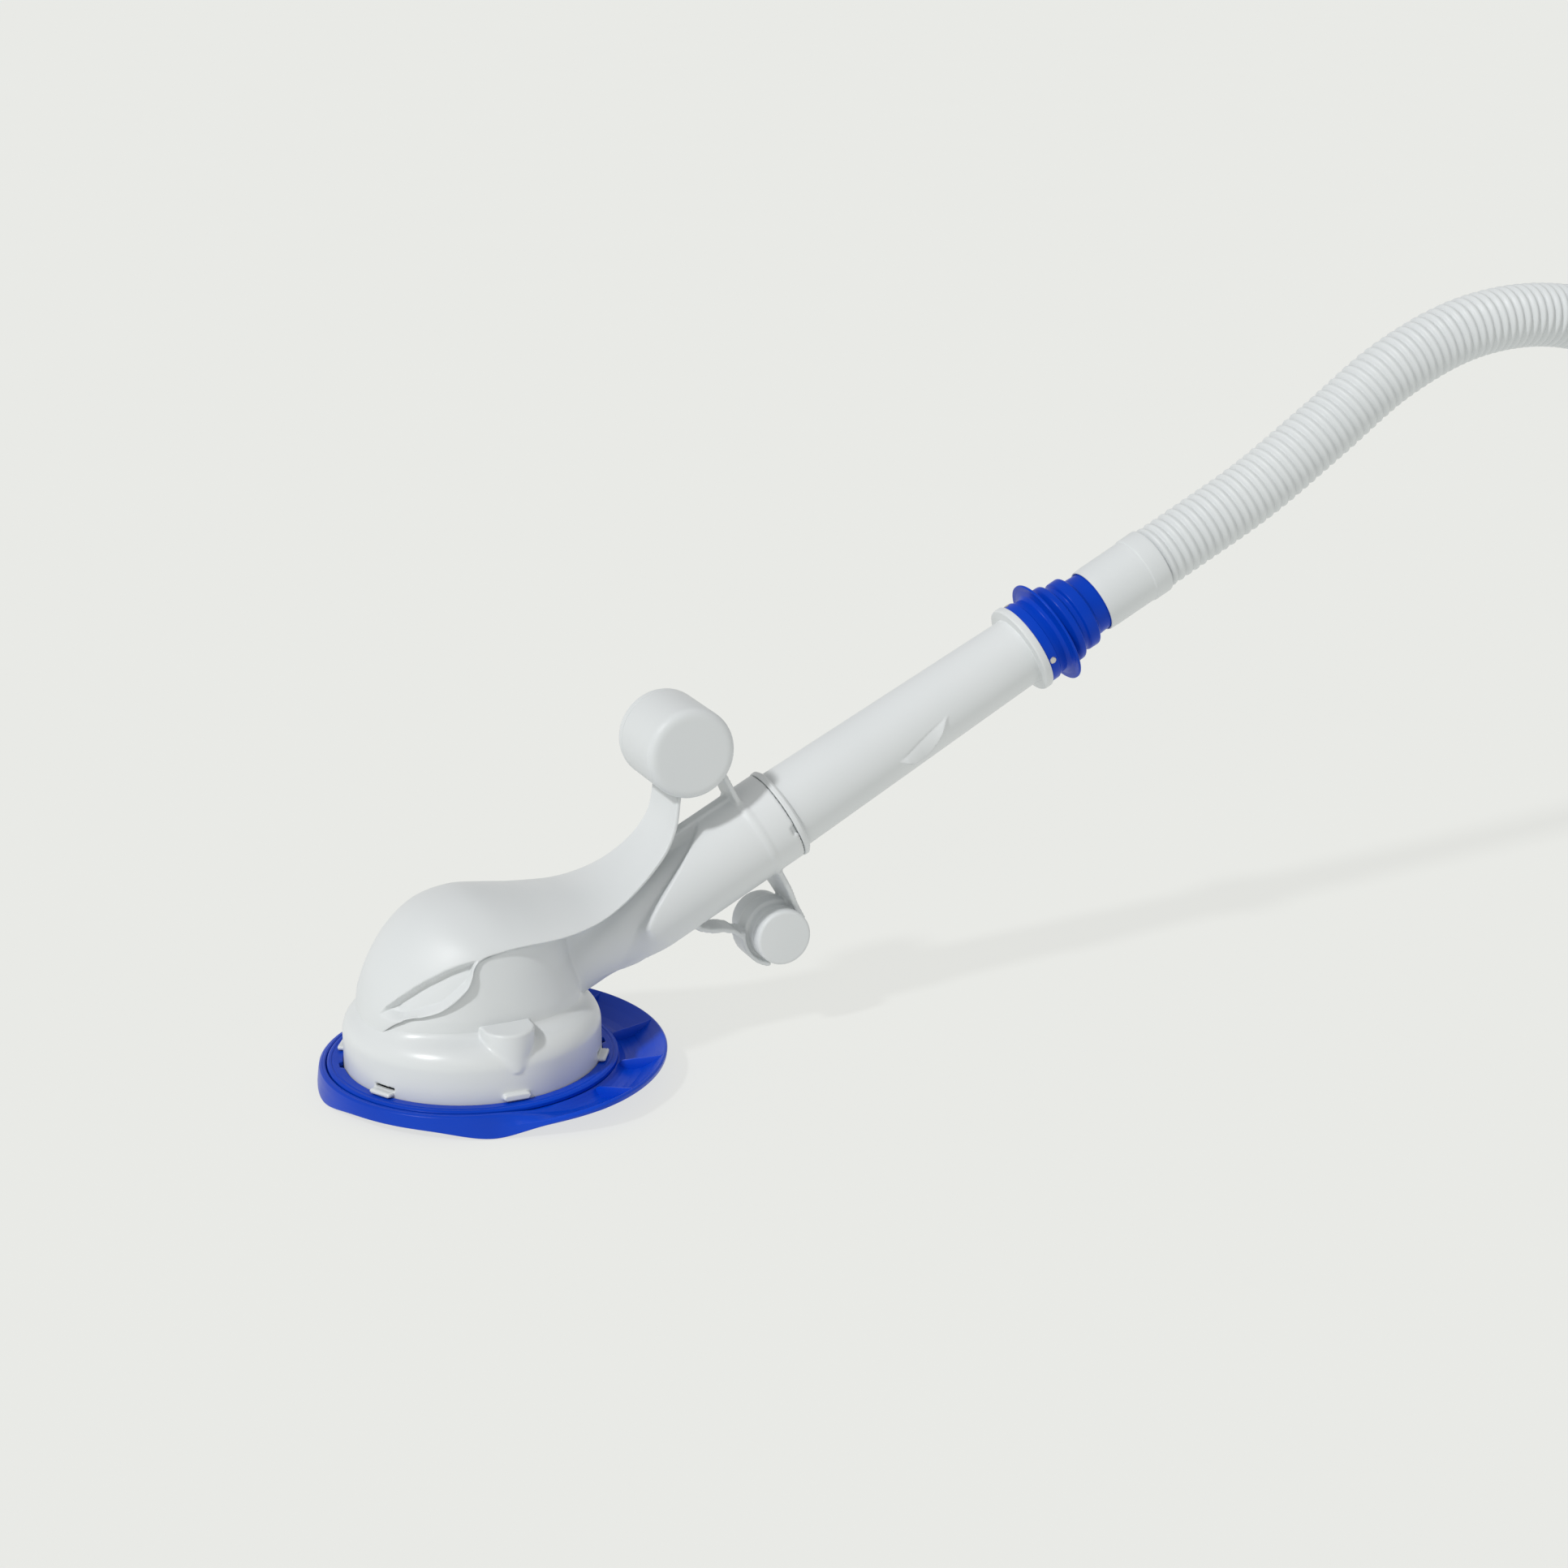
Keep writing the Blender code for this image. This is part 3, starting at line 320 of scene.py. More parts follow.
def meshed(field, low, high, step, block=8):
    """Closed quad mesh of the surface where field(x, y, z) is 0, negative inside.

    The field is worked out coarsely first, then finely in the blocks near its surface. Each cell
    that the surface crosses gets one vertex, and these are then evened out and put back on it.
    """
    low = np.array(low, float)
    blocks = np.ceil((np.array(high) - low) / (step * block)).astype(int)
    axes = [low[k] + step * np.arange(blocks[k] * block) for k in range(3)]
    middles = [axis.reshape(-1, block).mean(axis=1) for axis in axes]
    grid = np.meshgrid(*middles, indexing="ij")
    coarse = field(*(g.ravel() for g in grid)).reshape(blocks)
    near = np.abs(coarse) < step * block * 1.5
    values = np.repeat(np.repeat(np.repeat(coarse, block, 0), block, 1), block, 2)
    view = values.reshape(blocks[0], block, blocks[1], block, blocks[2], block)
    view = view.transpose(0, 2, 4, 1, 3, 5)
    inner = np.meshgrid(*([np.arange(block) * step] * 3), indexing="ij")
    starts = np.argwhere(near)
    for chunk in np.array_split(starts, max(1, len(starts) // 600)):
        corner = low + chunk * step * block
        at = [corner[:, k, None] + inner[k].ravel()[None, :] for k in range(3)]
        found = field(*(a.ravel() for a in at)).reshape(len(chunk), block, block, block)
        view[chunk[:, 0], chunk[:, 1], chunk[:, 2]] = found
    shape = np.array(values.shape)
    cells, points, flips = [], [], []
    for axis in range(3):
        ahead = np.take(values, range(1, shape[axis]), axis)
        here = np.take(values, range(shape[axis] - 1), axis)
        at = np.argwhere((here < 0) != (ahead < 0))
        a, b = here[tuple(at.T)], ahead[tuple(at.T)]
        place = low + at * step
        place[:, axis] += step * a / (a - b)
        one, two = [k for k in range(3) if k != axis]
        corners = []
        for d1, d2 in ((0, 0), (-1, 0), (-1, -1), (0, -1)):
            cell = at.copy()
            cell[:, one] += d1
            cell[:, two] += d2
            corners.append(np.ravel_multi_index(cell.T, values.shape))
        cells.append(np.stack(corners, 1))
        points.append(place)
        flips.append((a < 0) == (axis != 1))
    cells, points, flips = np.concatenate(cells), np.concatenate(points), np.concatenate(flips)
    _, index = np.unique(cells.ravel(), return_inverse=True)
    index = index.reshape(-1)
    weight = np.bincount(index)
    spread = np.repeat(points, 4, axis=0)
    verts = np.stack([np.bincount(index, spread[:, k]) / weight for k in range(3)], 1)
    quads = index.reshape(-1, 4)
    quads[~flips] = quads[~flips][:, ::-1]
    ends = np.concatenate([quads[:, [k, (k + 1) % 4]] for k in range(4)])
    linked = np.bincount(ends[:, 0], minlength=len(verts))
    for _ in range(3):
        around = np.stack([
            np.bincount(ends[:, 0], verts[ends[:, 1], k], len(verts)) for k in range(3)
        ], 1)
        verts = 0.5 * verts + 0.5 * around / linked[:, None]
        value = field(*verts.T)
        slope = np.stack([
            (field(*(verts + d).T) - field(*(verts - d).T)) / 0.2
            for d in (np.eye(3) * 0.1)
        ], 1)
        size = np.maximum((slope**2).sum(1), 0.25)
        move = slope * (value / size)[:, None]
        verts -= np.clip(move, -0.4 * step, 0.4 * step)
    return verts, quads.tolist()


# ---------------------------------------------------------------- hose
HOSE_ROUTE = (
    (0.4773, 0, 0.2842), (0.4968, 0, 0.2944), (0.5529, 0, 0.3248),
    (0.6056, 0, 0.3607), (0.6580, 0, 0.3972), (0.7167, 0, 0.4214),
    (0.7801, 0, 0.4265), (0.8419, -0.0006, 0.4119), (0.8963, -0.0021, 0.3791),
    (0.9381, -0.0043, 0.3312), (0.9689, -0.0070, 0.2754), (0.9986, -0.0108, 0.2191),
    (1.0282, -0.0156, 0.1627), (1.0604, -0.0221, 0.1081), (1.1047, -0.0326, 0.0637),
    (1.1594, -0.0469, 0.0346), (1.2196, -0.0638, 0.0234), (1.2810, -0.0814, 0.0229),
    (1.3031, -0.0877, 0.0229),
)
RIB_PITCH = 6.2                                   # mm, as are the next three
RIB_CREST, RIB_GROOVE = 21.7, 19.4
CUFF_LENGTH = 50.3
NEAR_CUFF_START = 487.0                           # along the tube's axis
FAR_CUFF_HEADING = math.radians(-16)


def smooth_line(points, count):
    """Points at even parameter steps on a Catmull-Rom curve through the given points."""
    points = [np.array(p, float) for p in points]
    ends = [2 * points[0] - points[1], *points, 2 * points[-1] - points[-2]]
    line = []
    for k in range(count):
        place = k / (count - 1) * (len(points) - 1)
        first = min(int(place), len(points) - 2)
        t = place - first
        a, b, c, d = ends[first:first + 4]
        line.append(
            0.5 * (2 * b + (c - a) * t + (2 * a - 5 * b + 4 * c - d) * t**2
                   + (3 * b - a - 3 * c + d) * t**3)
        )
    return np.array(line)


def even_line(points, step):
    """A line's points at even distances along it, and its length."""
    away = np.concatenate([[0], np.cumsum(np.linalg.norm(np.diff(points, axis=0), axis=1))])
    count = max(2, int(round(away[-1] / step)) + 1)
    at = np.linspace(0, away[-1], count)
    return np.stack([np.interp(at, away, points[:, k]) for k in range(3)], 1), at


def hose_tube():
    """The ribbed hose as one skin along its route, the route itself and its length."""
    line = smooth_line(HOSE_ROUTE, 2400)
    centres, along = even_line(line, RIB_PITCH * MM / 8)
    length = along[-1]
    ribs = round(length / (RIB_PITCH * MM))
    phase = along / length * ribs
    wave = 0.5 - 0.5 * np.cos(2 * math.pi * phase)
    radius = RIB_GROOVE + (RIB_CREST - RIB_GROOVE) * wave ** 0.55
    ahead = np.gradient(centres, axis=0)
    ahead /= np.linalg.norm(ahead, axis=1)[:, None]
    side = np.cross((0, 1.0, 0), ahead)
    side /= np.linalg.norm(side, axis=1)[:, None]
    other = np.cross(ahead, side)
    turns = np.linspace(0, 2 * math.pi, 44, endpoint=False)
    rows = [
        c + r * MM * (np.cos(turns)[:, None] * s + np.sin(turns)[:, None] * o)
        for c, r, s, o in zip(centres, radius, side, other)
    ]
    verts, faces = skinned(rows, caps=True)
    made = piece("hose_ribbed", verts, faces, ROOT, "hose_plastic",
                 Matrix.Translation((BODY_X, 0, 0)), ["hose_tube"], sharp=180)
    return made, centres + np.array((BODY_X, 0, 0)), length


def cuff_outline(start):
    """A hose cuff from its mouth: slightly belled, with a moulded line where the hose begins."""
    end = start + CUFF_LENGTH
    return rounded([
        (20.85, start, 0.5), (21.9, start, 0.9), (22.25, start + 7, 0), (22.3, start + 36.5, 0.6),
        (22.95, start + 37.4, 0.8), (22.95, end, 1.6), (17.2, end, 0.3), (17.2, start + 27, 0.3),
        (20.85, start + 27, 0.3),
    ])


def hose_cuffs():
    """The cuff on the swivel's tail, and the one on the hose's far end, lying on the floor."""
    verts, faces = turned(cuff_outline(NEAR_CUFF_START), 96)
    near = piece("cuff_near", verts, faces, SWIVEL, "hose_plastic", TUBE,
                 ["hose_cuff_near"], sharp=30)
    run = Vector((math.cos(FAR_CUFF_HEADING), math.sin(FAR_CUFF_HEADING), 0))
    end = Vector(HOSE_ROUTE[-1]) + run * (0.0006 + CUFF_LENGTH * MM)
    place = (
        Matrix.Translation((end.x + BODY_X, end.y, HOSE_ROUTE[-1][2]))
        @ Matrix.Rotation(FAR_CUFF_HEADING, 4, "Z") @ Matrix.Rotation(-math.pi / 2, 4, "Y")
        @ Matrix.Scale(MM, 4)
    )
    verts, faces = turned(cuff_outline(0), 96)
    far = piece("cuff_far", verts, faces, ROOT, "hose_plastic", place,
                ["hose_cuff_far"], sharp=30)
    return near, far


ribbed, hose_path, hose_length = hose_tube()
near_cuff, far_cuff = hose_cuffs()


# ---------------------------------------------------------------- cowl
# Stations along the cowl, mm: edge X, half width and edge Z, then crown X and crown Z.
COWL_STATIONS = (
    (-67.4, 24.0, 47.8, -71.0, 47.0), (-57.2, 40.5, 60.9, -68.8, 64.0),
    (-36.6, 53.8, 68.6, -63.5, 82.0), (-20.6, 58.7, 82.4, -50.0, 102.8),
    (-12.2, 55.4, 97.4, -31.0, 117.2), (4.0, 55.5, 102.0, -6.0, 123.2),
    (20.0, 55.5, 103.5, 18.0, 120.2), (36.4, 54.0, 103.7, 37.0, 116.7),
    (52.8, 50.5, 104.6, 54.5, 114.6), (69.2, 44.5, 106.9, 70.0, 113.9),
    (84.5, 38.0, 111.9, 84.8, 116.4), (98.6, 32.0, 119.5, 98.3, 122.0),
    (110.7, 27.5, 129.0, 110.3, 130.2), (120.7, 24.5, 139.9, 120.4, 140.4),
    (127.5, 21.5, 153.4, 127.5, 153.4), (130.5, 20.5, 170.9, 130.5, 170.9),
)
COWL_THICK = 2.6
# The leaf-shaped pocket on the cowl's side: its upper and lower edge as (X, Z), and its depth, mm.
LEAF_TOP = ((-67.0, 60.0), (-62.0, 68.0), (-55.7, 74.6), (-47.5, 81.6), (-42.4, 85.4),
            (-31.0, 92.2), (-22.4, 95.9), (-11.5, 99.2))
LEAF_EDGE = ((-67.0, 60.0), (-57.2, 60.9), (-36.6, 68.6), (-20.6, 82.4), (-11.5, 99.2))
LEAF_DEPTH, LIP_WIDTH, STEP_WIDTH = 5.6, 5.0, 1.2


def leaf_depth(x, z):
    """How far the leaf-shaped pocket lies behind the cowl's skin, seen from the side."""
    top = np.interp(x, *zip(*LEAF_TOP))
    edge = np.interp(x, *zip(*LEAF_EDGE))
    inside = (x > -67.0) & (x < -11.5) & (z > edge - 2) & (z < top)
    deep = np.minimum(LEAF_DEPTH, 0.55 * (top - edge))
    step = smoothstep((top - z) / STEP_WIDTH)
    lip = np.clip((z - edge) / LIP_WIDTH / 1.25, 0, 1)
    return np.where(inside, deep * step * np.minimum(lip * 1.1, 1.0), 0.0)


def cowl():
    """The domed cover as a grid of two skins over its stations, joined by a rounded rim."""
    front, back, across = 130, 64, 190
    stations = len(COWL_STATIONS) - 1
    at = np.concatenate([np.linspace(0, 5, front, endpoint=False), np.linspace(5, stations, back)])
    edge = smooth_line([(x, w, z) for x, w, z, _, _ in COWL_STATIONS], stations * 60 + 1)
    crown = smooth_line([(x, 0, z) for _, _, _, x, z in COWL_STATIONS], stations * 60 + 1)
    knots = np.linspace(0, stations, stations * 60 + 1)
    e = np.stack([np.interp(at, knots, edge[:, k]) for k in range(3)], 1)
    c = np.stack([np.interp(at, knots, crown[:, k]) for k in range(3)], 1)
    side = -np.cos(np.pi * np.arange(across + 1) / across)
    rise = (1 - side**2) ** 0.8
    x = e[:, None, 0] + (c - e)[:, None, 0] * rise
    y = e[:, None, 1] * side
    z = e[:, None, 2] + (c - e)[:, None, 2] * rise
    skin = np.stack([x, y, z], 2)
    normal = np.cross(np.gradient(skin, axis=0), np.gradient(skin, axis=1))
    size = np.linalg.norm(normal, axis=2)
    normal /= -np.maximum(size, 1e-9)[:, :, None]      # pointing inwards
    sunk = skin + normal * leaf_depth(x, z)[:, :, None]
    thick = COWL_THICK * (0.35 + 0.65 * smoothstep(at / 2.5))[:, None, None]
    inner = sunk + normal * thick
    rows, columns = x.shape
    grid = np.arange(rows * columns).reshape(rows, columns)
    quads = np.stack([grid[:-1, :-1], grid[:-1, 1:], grid[1:, 1:], grid[1:, :-1]], 2).reshape(-1, 4)
    faces = quads.tolist() + (quads[:, ::-1] + rows * columns).tolist()

    def rim(a):
        """A grid's edge as one loop."""
        return np.concatenate([a[0], a[1:-1, -1], a[-1][::-1], a[-2:0:-1, 0]])

    within = np.clip(np.stack(np.meshgrid(range(rows), range(columns), indexing="ij"), 2),
                     (1, 1), (rows - 2, columns - 2))
    outward = rim(sunk - sunk[within[..., 0], within[..., 1]])
    outward /= np.maximum(np.linalg.norm(outward, axis=1), 1e-9)[:, None]
    o, i = rim(sunk), rim(inner)
    loops = [rim(grid)]
    extra = []
    first = 2 * rows * columns
    for share, out in ((0.08, 0.42), (0.30, 0.78), (0.70, 0.78), (0.92, 0.42)):
        extra.append(o + (i - o) * share + outward * out * 0.9)
        loops.append(np.arange(first, first + len(o)))
        first += len(o)
    loops.append(rim(grid) + rows * columns)
    for a, b in zip(loops, loops[1:]):
        n = np.roll(np.arange(len(a)), -1)
        faces += np.stack([a, a[n], b[n], b], 1).tolist()
    verts = np.concatenate([sunk.reshape(-1, 3), inner.reshape(-1, 3), *extra])
    piece("cowl_shell", verts, faces, ROOT, "white_shell", BODY, ["cowl"], sharp=60)


cowl()


# ---------------------------------------------------------------- base band
BAND_RADIUS, BAND_TOP, BAND_ROUNDING = 80.0, 50.0, 14.5      # mm
BOSS_X, BOSS_RADIUS, BOSS_REACH = 2.0, 15.8, 80.8
BOSS_FOOT, BOSS_TOP = 33.2, 57.6
TAB_ANGLES = (30, 90, 150, 210, 330)
# The chamber's oval wall: height, then half length and half width.
CORE_OVALS = ((44, 68.0, 60.5), (61, 66.0, 59.5), (71, 62.5, 58.0), (81, 59.0, 56.5),
              (97, 57.0, 54.0), (106, 57.0, 54.0))
CORE_POWER = 2.3


def core_oval(x, y, z):
    """Sideways distance to the oval wall of the chamber."""
    levels, lengths, widths = zip(*CORE_OVALS)
    front = 1.6 * smoothstep((-x - 40) / 20) * smoothstep((66 - z) / 10)
    a = np.interp(z, levels, lengths) + front
    b = np.interp(z, levels, widths) + front
    share = ((np.abs(x) / a) ** CORE_POWER + (np.abs(y) / b) ** CORE_POWER) ** (1 / CORE_POWER)
    return (share - 1) * np.minimum(a, b)


def tube_frame(x, y, z):
    """Distance along the tube's axis, height over it across its lean, and distance from it."""
    s = x * COS + (z - RISE) * SIN
    p = -x * SIN + (z - RISE) * COS
    return s, p, np.hypot(p, y)


def base_field(x, y, z):
    """The round base band with its side bosses, the foot of the chamber, the tabs and the lug."""
    rho = np.hypot(x, y)
    q0, q1 = rho - (BAND_RADIUS - BAND_ROUNDING), z - (BAND_TOP - BAND_ROUNDING)
    outside = np.sqrt(np.maximum(q0, 0) ** 2 + np.maximum(q1, 0) ** 2)
    drum = outside + np.minimum(np.maximum(q0, q1), 0) - BAND_ROUNDING
    # a boss on each side, swelling from a point
    rise = np.clip((z - 32.0) / 25.0, 0.002, 1)
    size = BOSS_RADIUS * (1 - (1 - rise) ** 3) ** 0.8
    away = np.abs(y)
    along = np.clip(away, 46.0, np.maximum(BOSS_REACH - size, 46.1))
    boss = np.hypot(x - BOSS_X, away - along) - size
    boss = np.maximum(blend_max(boss, z - BOSS_TOP, 1.4), BOSS_FOOT - z)
    foot = np.maximum(core_oval(x, y, z) + 0.3, z - 57.0)
    solid = blend_min(blend_min(drum, foot, 7.0), boss, 1.8)
    # the tabs, each but the one at the far side under a slot, and the lug on the near side
    for angle in TAB_ANGLES:
        c, s = math.cos(math.radians(angle)), math.sin(math.radians(angle))
        u, v = x * c + y * s, -x * s + y * c
        solid = np.minimum(solid, in_box(u, v, z, (81.0, 0, 17.6), (3.6, 8.0, 1.3), 0.6))
        if angle != 90:
            slot = in_box(u, v, z, (80.0, 0.4, 20.4), (5.0, 7.6, 1.1), 0.3)
            solid = np.maximum(solid, -slot)
    lug = np.hypot(np.maximum(np.abs(x - 1.0) - 6.0, 0), (z - 18.6) * 1.25) - 2.6
    lug = np.maximum(np.maximum(lug, np.abs(y + 80.6) - 2.6), -(z - 16.35))
    solid = blend_min(solid, lug, 0.8)
    # the hollow, the round opening up into the chamber and the tube's way out
    inside = np.maximum(drum + 3.0, 2.0 - z)
    roof = np.maximum(rho - 52.0, z - 60)
    solid = np.maximum(np.maximum(solid, -inside), -roof)
    s, _, from_axis = tube_frame(x, y, z)
    solid = np.maximum(solid, -np.maximum(from_axis - 21.0, 20 - s))
    return np.maximum(solid, 6.2 - z)


verts, faces = meshed(base_field, (-90, -90, 3), (90, 90, 62), 1.0)
piece("base_band", verts, faces, ROOT, "white_gloss", BODY, ["base_shell"], sharp=180)


# ---------------------------------------------------------------- chamber, neck, brace and pod
# The wall under the tail band as (X, half width), mm.
WEB_STATIONS = ((40, 22.0), (53, 21.0), (69, 19.0), (84.5, 16.5), (98, 13.0), (108, 8.5),
                (115, 4.0), (200, 4.0))
SPINE_TOP = 31.8                                  # above the tube's axis
BRACE_AT, BRACE_HALF_THICK = 212.8, 1.75          # along the tube's axis
NECK_END, NOTCH_AT = 233.2, 233.4
POD = (202.5, 68.0)
POD_RADIUS, POD_FACE = 18.3, 22.5
STRAP = ((142, 83.5), (150, 77.5), (158, 75.0), (166, 74.5), (173, 72.6), (178.5, 68.6))
STRAP_HALF = 9.5


def along_polyline(x, z, points):
    """Distance in the side view to a polyline."""
    best = np.full_like(x, 1e9)
    for (x0, z0), (x1, z1) in zip(points, points[1:]):
        dx, dz = x1 - x0, z1 - z0
        t = np.clip(((x - x0) * dx + (z - z0) * dz) / (dx * dx + dz * dz), 0, 1)
        best = np.minimum(best, np.hypot(x - x0 - t * dx, z - z0 - t * dz))
    return best


EDGE_X, EDGE_Z = zip(*[(s[0], s[2]) for s in COWL_STATIONS])
HALF = [s[1] for s in COWL_STATIONS]
CROWN_X, CROWN_Z = zip(*[(s[3], s[4]) for s in COWL_STATIONS])


def below_band_field(x, z, away):
    """Height above the underside of the cowl's tail band."""
    v = np.clip(away / np.interp(x, EDGE_X, HALF), 0, 1)
    ez, cz = np.interp(x, EDGE_X, EDGE_Z), np.interp(x, CROWN_X, CROWN_Z)
    skin = ez + (cz - ez) * (1 - v**2) ** 0.8
    slope = np.interp(x, (20, 60, 80, 92, 105, 115, 124), (0, 0.05, 0.22, 0.50, 0.78, 1.02, 1.35))
    return z - (skin - 3.4 * np.sqrt(1 + slope**2) * (1 + 0.2 * slope))


def chamber_walls(x, y, z, s, p, rho):
    """The oval chamber, the neck that widens to the brace, and the web and spine over it."""
    away = np.abs(y)
    core = core_oval(x, y, z)
    lid = z - (np.interp(x, EDGE_X, EDGE_Z) - 0.5)
    core = np.maximum(np.maximum(core, lid), 47.4 - z)
    upward = p / np.maximum(rho, 1e-6)
    begin = 117 + 66 * np.maximum(upward, 0) ** 1.3 - 10 * np.maximum(-upward, 0)
    length = 9 + 45 * np.maximum(-upward, 0)
    neck_radius = 23.8 + 6.6 * smoothstep((s - begin) / length + 0.5)
    neck = np.maximum(rho - neck_radius, np.maximum(s - NECK_END, 25 - s))
    web_half = np.interp(x, *zip(*WEB_STATIONS))
    below_band = below_band_field(x, z, away)
    web = np.maximum(np.maximum(away - web_half, below_band), np.maximum(38 - x, x - 124))
    over_neck = np.maximum(p - SPINE_TOP, -p)
    web = np.maximum(web, over_neck * np.where(x > 117, 1, 0) - 1e3 * (x <= 117))
    web = np.maximum(web, 62 - z)
    spine = np.maximum(np.maximum(away - 3.6, p - SPINE_TOP), -p)
    spine = np.maximum(spine, np.maximum(118 - x, s - 211))
    solid = blend_min(blend_min(core, neck, 3.0), web, 3.0)
    solid = np.maximum(solid, np.where((x > 60) & (x < 124), below_band, -1e3))
    return blend_min(solid, spine, 3.0)


def with_brace(solid, away, s, p, rho):
    """Adds the brace plate across the tube, with its ridge round the neck."""
    at = np.abs(s - BRACE_AT) - BRACE_HALF_THICK
    high = np.maximum(np.maximum(at, away - 13.0), np.maximum(p - 54.3, 20 - p))
    ridge_top = 31.3 - 0.5 * smoothstep((away - 16) / 10)
    ridge = np.hypot(np.maximum(np.abs(s - BRACE_AT) - 0.8, 0), rho - ridge_top + 1.2) - 1.2
    low_half = 21.5 - 7.0 * smoothstep((-p - 36) / 22)
    low = np.maximum(np.maximum(at, away - low_half), np.maximum(p + 24, -66 - p))
    return blend_min(blend_min(blend_min(solid, high, 2.2), ridge, 1.6), low, 2.2)


def with_pod(solid, x, y, z, pod_radial):
    """Adds the ballast pod's shell, its collar and the strap that carries it."""
    away = np.abs(y)
    body = in_disc(pod_radial, y, POD_RADIUS, -13.4, POD_FACE, 1.8)
    collar = in_disc(pod_radial, y, 20.8, -6.0, 6.0, 0.9)
    strap = along_polyline(x, z, STRAP) - 1.6
    strap = np.maximum(strap, away - STRAP_HALF)
    wrap_half = np.maximum(np.abs(pod_radial - 22.3) - 1.4, away - STRAP_HALF)
    wrap_half = np.maximum(wrap_half, np.maximum(x - (POD[0] - 4), z - (POD[1] + 3)))
    pod = blend_min(blend_min(body, collar, 0.8), wrap_half, 1.2)
    return blend_min(solid, blend_min(strap, pod, 1.4), 2.0)


def chamber_field(x, y, z):
    """Chamber, neck, brace and pod shell as one moulding, less its hollows."""
    s, p, rho = tube_frame(x, y, z)
    pod_radial = np.hypot(x - POD[0], z - POD[1])
    solid = chamber_walls(x, y, z, s, p, rho)
    solid = with_brace(solid, np.abs(y), s, p, rho)
    solid = with_pod(solid, x, y, z, pod_radial)
    well = in_disc(np.hypot(x, y), z, 33.0, 30, 84, 2)
    bore = np.maximum(rho - np.where(s > 194, 27.5, 20.9), np.maximum(10 - s, s - 240))
    cup = in_disc(pod_radial, y, 15.7, -30, 19.5, 1)
    band = np.maximum(np.hypot(x, y) - 76.0, z - 47.2)
    notch = np.maximum(np.abs(s - NOTCH_AT) - 3.2, np.maximum(np.abs(p) - 3.0, y + 28.6))
    for hollow in (well, bore, cup, band, notch):
        solid = np.maximum(solid, -hollow)
    return solid


verts, faces = meshed(chamber_field, (-76, -66, 42), (230, 66, 188), 1.27)
piece("chamber_and_neck", verts, faces, ROOT, "white_shell", BODY, ["chamber_body"], sharp=180)


# ---------------------------------------------------------------- tubes
# The tube below and above its taper as (radius, place along the axis, corner), and the taper, mm.
TUBE_LOWER_END = (
    (26.2, 215.0, 0.3), (27.2, 215.0, 0.4), (27.2, 233.6, 0), (30.6, 233.6, 0.4),
    (31.0, 234.2, 0.3), (31.0, 236.6, 0.9), (29.2, 238.2, 0.6), (27.0, 238.4, 0.5),
)
TUBE_UPPER_END = (
    (23.3, 427.0, 0.7), (29.7, 427.2, 0.5), (30.2, 428.2, 0.6), (30.2, 432.5, 0.8),
    (25.2, 432.5, 0.2), (25.2, 440.2, 0.5), (20.8, 440.2, 0.3), (20.8, 424.2, 0), (24.6, 216.0, 0),
)
TAPER_START, TAPER_LENGTH, TAPER_STEPS = 238.6, 188.2, 190
WIDE_RADIUS, NARROWS_BY = 26.95, 3.65
LEAF_LIP, LEAF_SUNK = 2.9, 0.7          # mm out at the leaf's lower edge, mm in at its upper edge
LEAF_BACK = 5.0                         # degrees over which the lip falls back to the tube
# The leaf's ends and its edges: place along the axis, and degrees round it from the top.
LEAF_S = (315.0, 322.0, 332.0, 341.0, 349.0, 357.5)
LEAF_UPPER = (100.5, 96.5, 91.0, 87.0, 84.2, 80.5)
LEAF_LOWER = (101.5, 115.5, 119.0, 109.5, 97.0, 81.0)


def outer_tube():
    """Collar, tapered tube with a raised leaf on each flank, flange and spigot."""
    turns = np.linspace(0, 2 * math.pi, 220, endpoint=False)
    taper = [
        (WIDE_RADIUS - NARROWS_BY * k / TAPER_STEPS, TAPER_START + TAPER_LENGTH * k / TAPER_STEPS)
        for k in range(1, TAPER_STEPS + 1)
    ]
    outline = np.array(rounded(TUBE_LOWER_END, 3) + taper + rounded(TUBE_UPPER_END, 3))
    r = np.repeat(outline[:, :1], len(turns), 1)
    s = np.repeat(outline[:, 1:], len(turns), 1)
    a = np.repeat(turns[None, :], len(outline), 0)
    outside = np.arange(len(outline))[:, None] < len(outline) - 6
    skin = (r > 23.0) & (s > 240) & (s < 426) & outside
    # the leaf on each flank, between a straight upper edge and a bowed lower lip
    for flip in (1, -1):
        turn = np.degrees(np.arctan2(flip * np.sin(a), np.cos(a)))
        upper = np.interp(s, LEAF_S, LEAF_UPPER)
        lower = np.interp(s, LEAF_S, LEAF_LOWER)
        wide = np.maximum(lower - upper, 0.01)
        inside = skin & (s > LEAF_S[0]) & (s < LEAF_S[-1])
        inside &= (turn > upper) & (turn < lower + LEAF_BACK)
        ramp = np.clip((turn - upper) / wide, 0, 1)
        fall = smoothstep((lower + LEAF_BACK - turn) / LEAF_BACK)
        lip = np.minimum(LEAF_LIP, 0.20 * wide) * ramp * fall
        sunk = np.minimum(LEAF_SUNK, 0.08 * wide) * (1 - ramp) * smoothstep((turn - upper) / 2.0)
        r = r + np.where(inside, lip - sunk, 0)
    verts = np.stack([r * np.cos(a), r * np.sin(a), s], 2).reshape(-1, 3)
    grid = np.arange(len(verts)).reshape(r.shape)
    up, right = np.roll(grid, -1, 0), np.roll(grid, -1, 1)
    faces = np.stack([grid, right, np.roll(up, -1, 1), up], 2).reshape(-1, 4).tolist()
    piece("outer_tube_shell", verts, faces, ROOT, "white_shell", TUBE, ["outer_tube"], sharp=42)


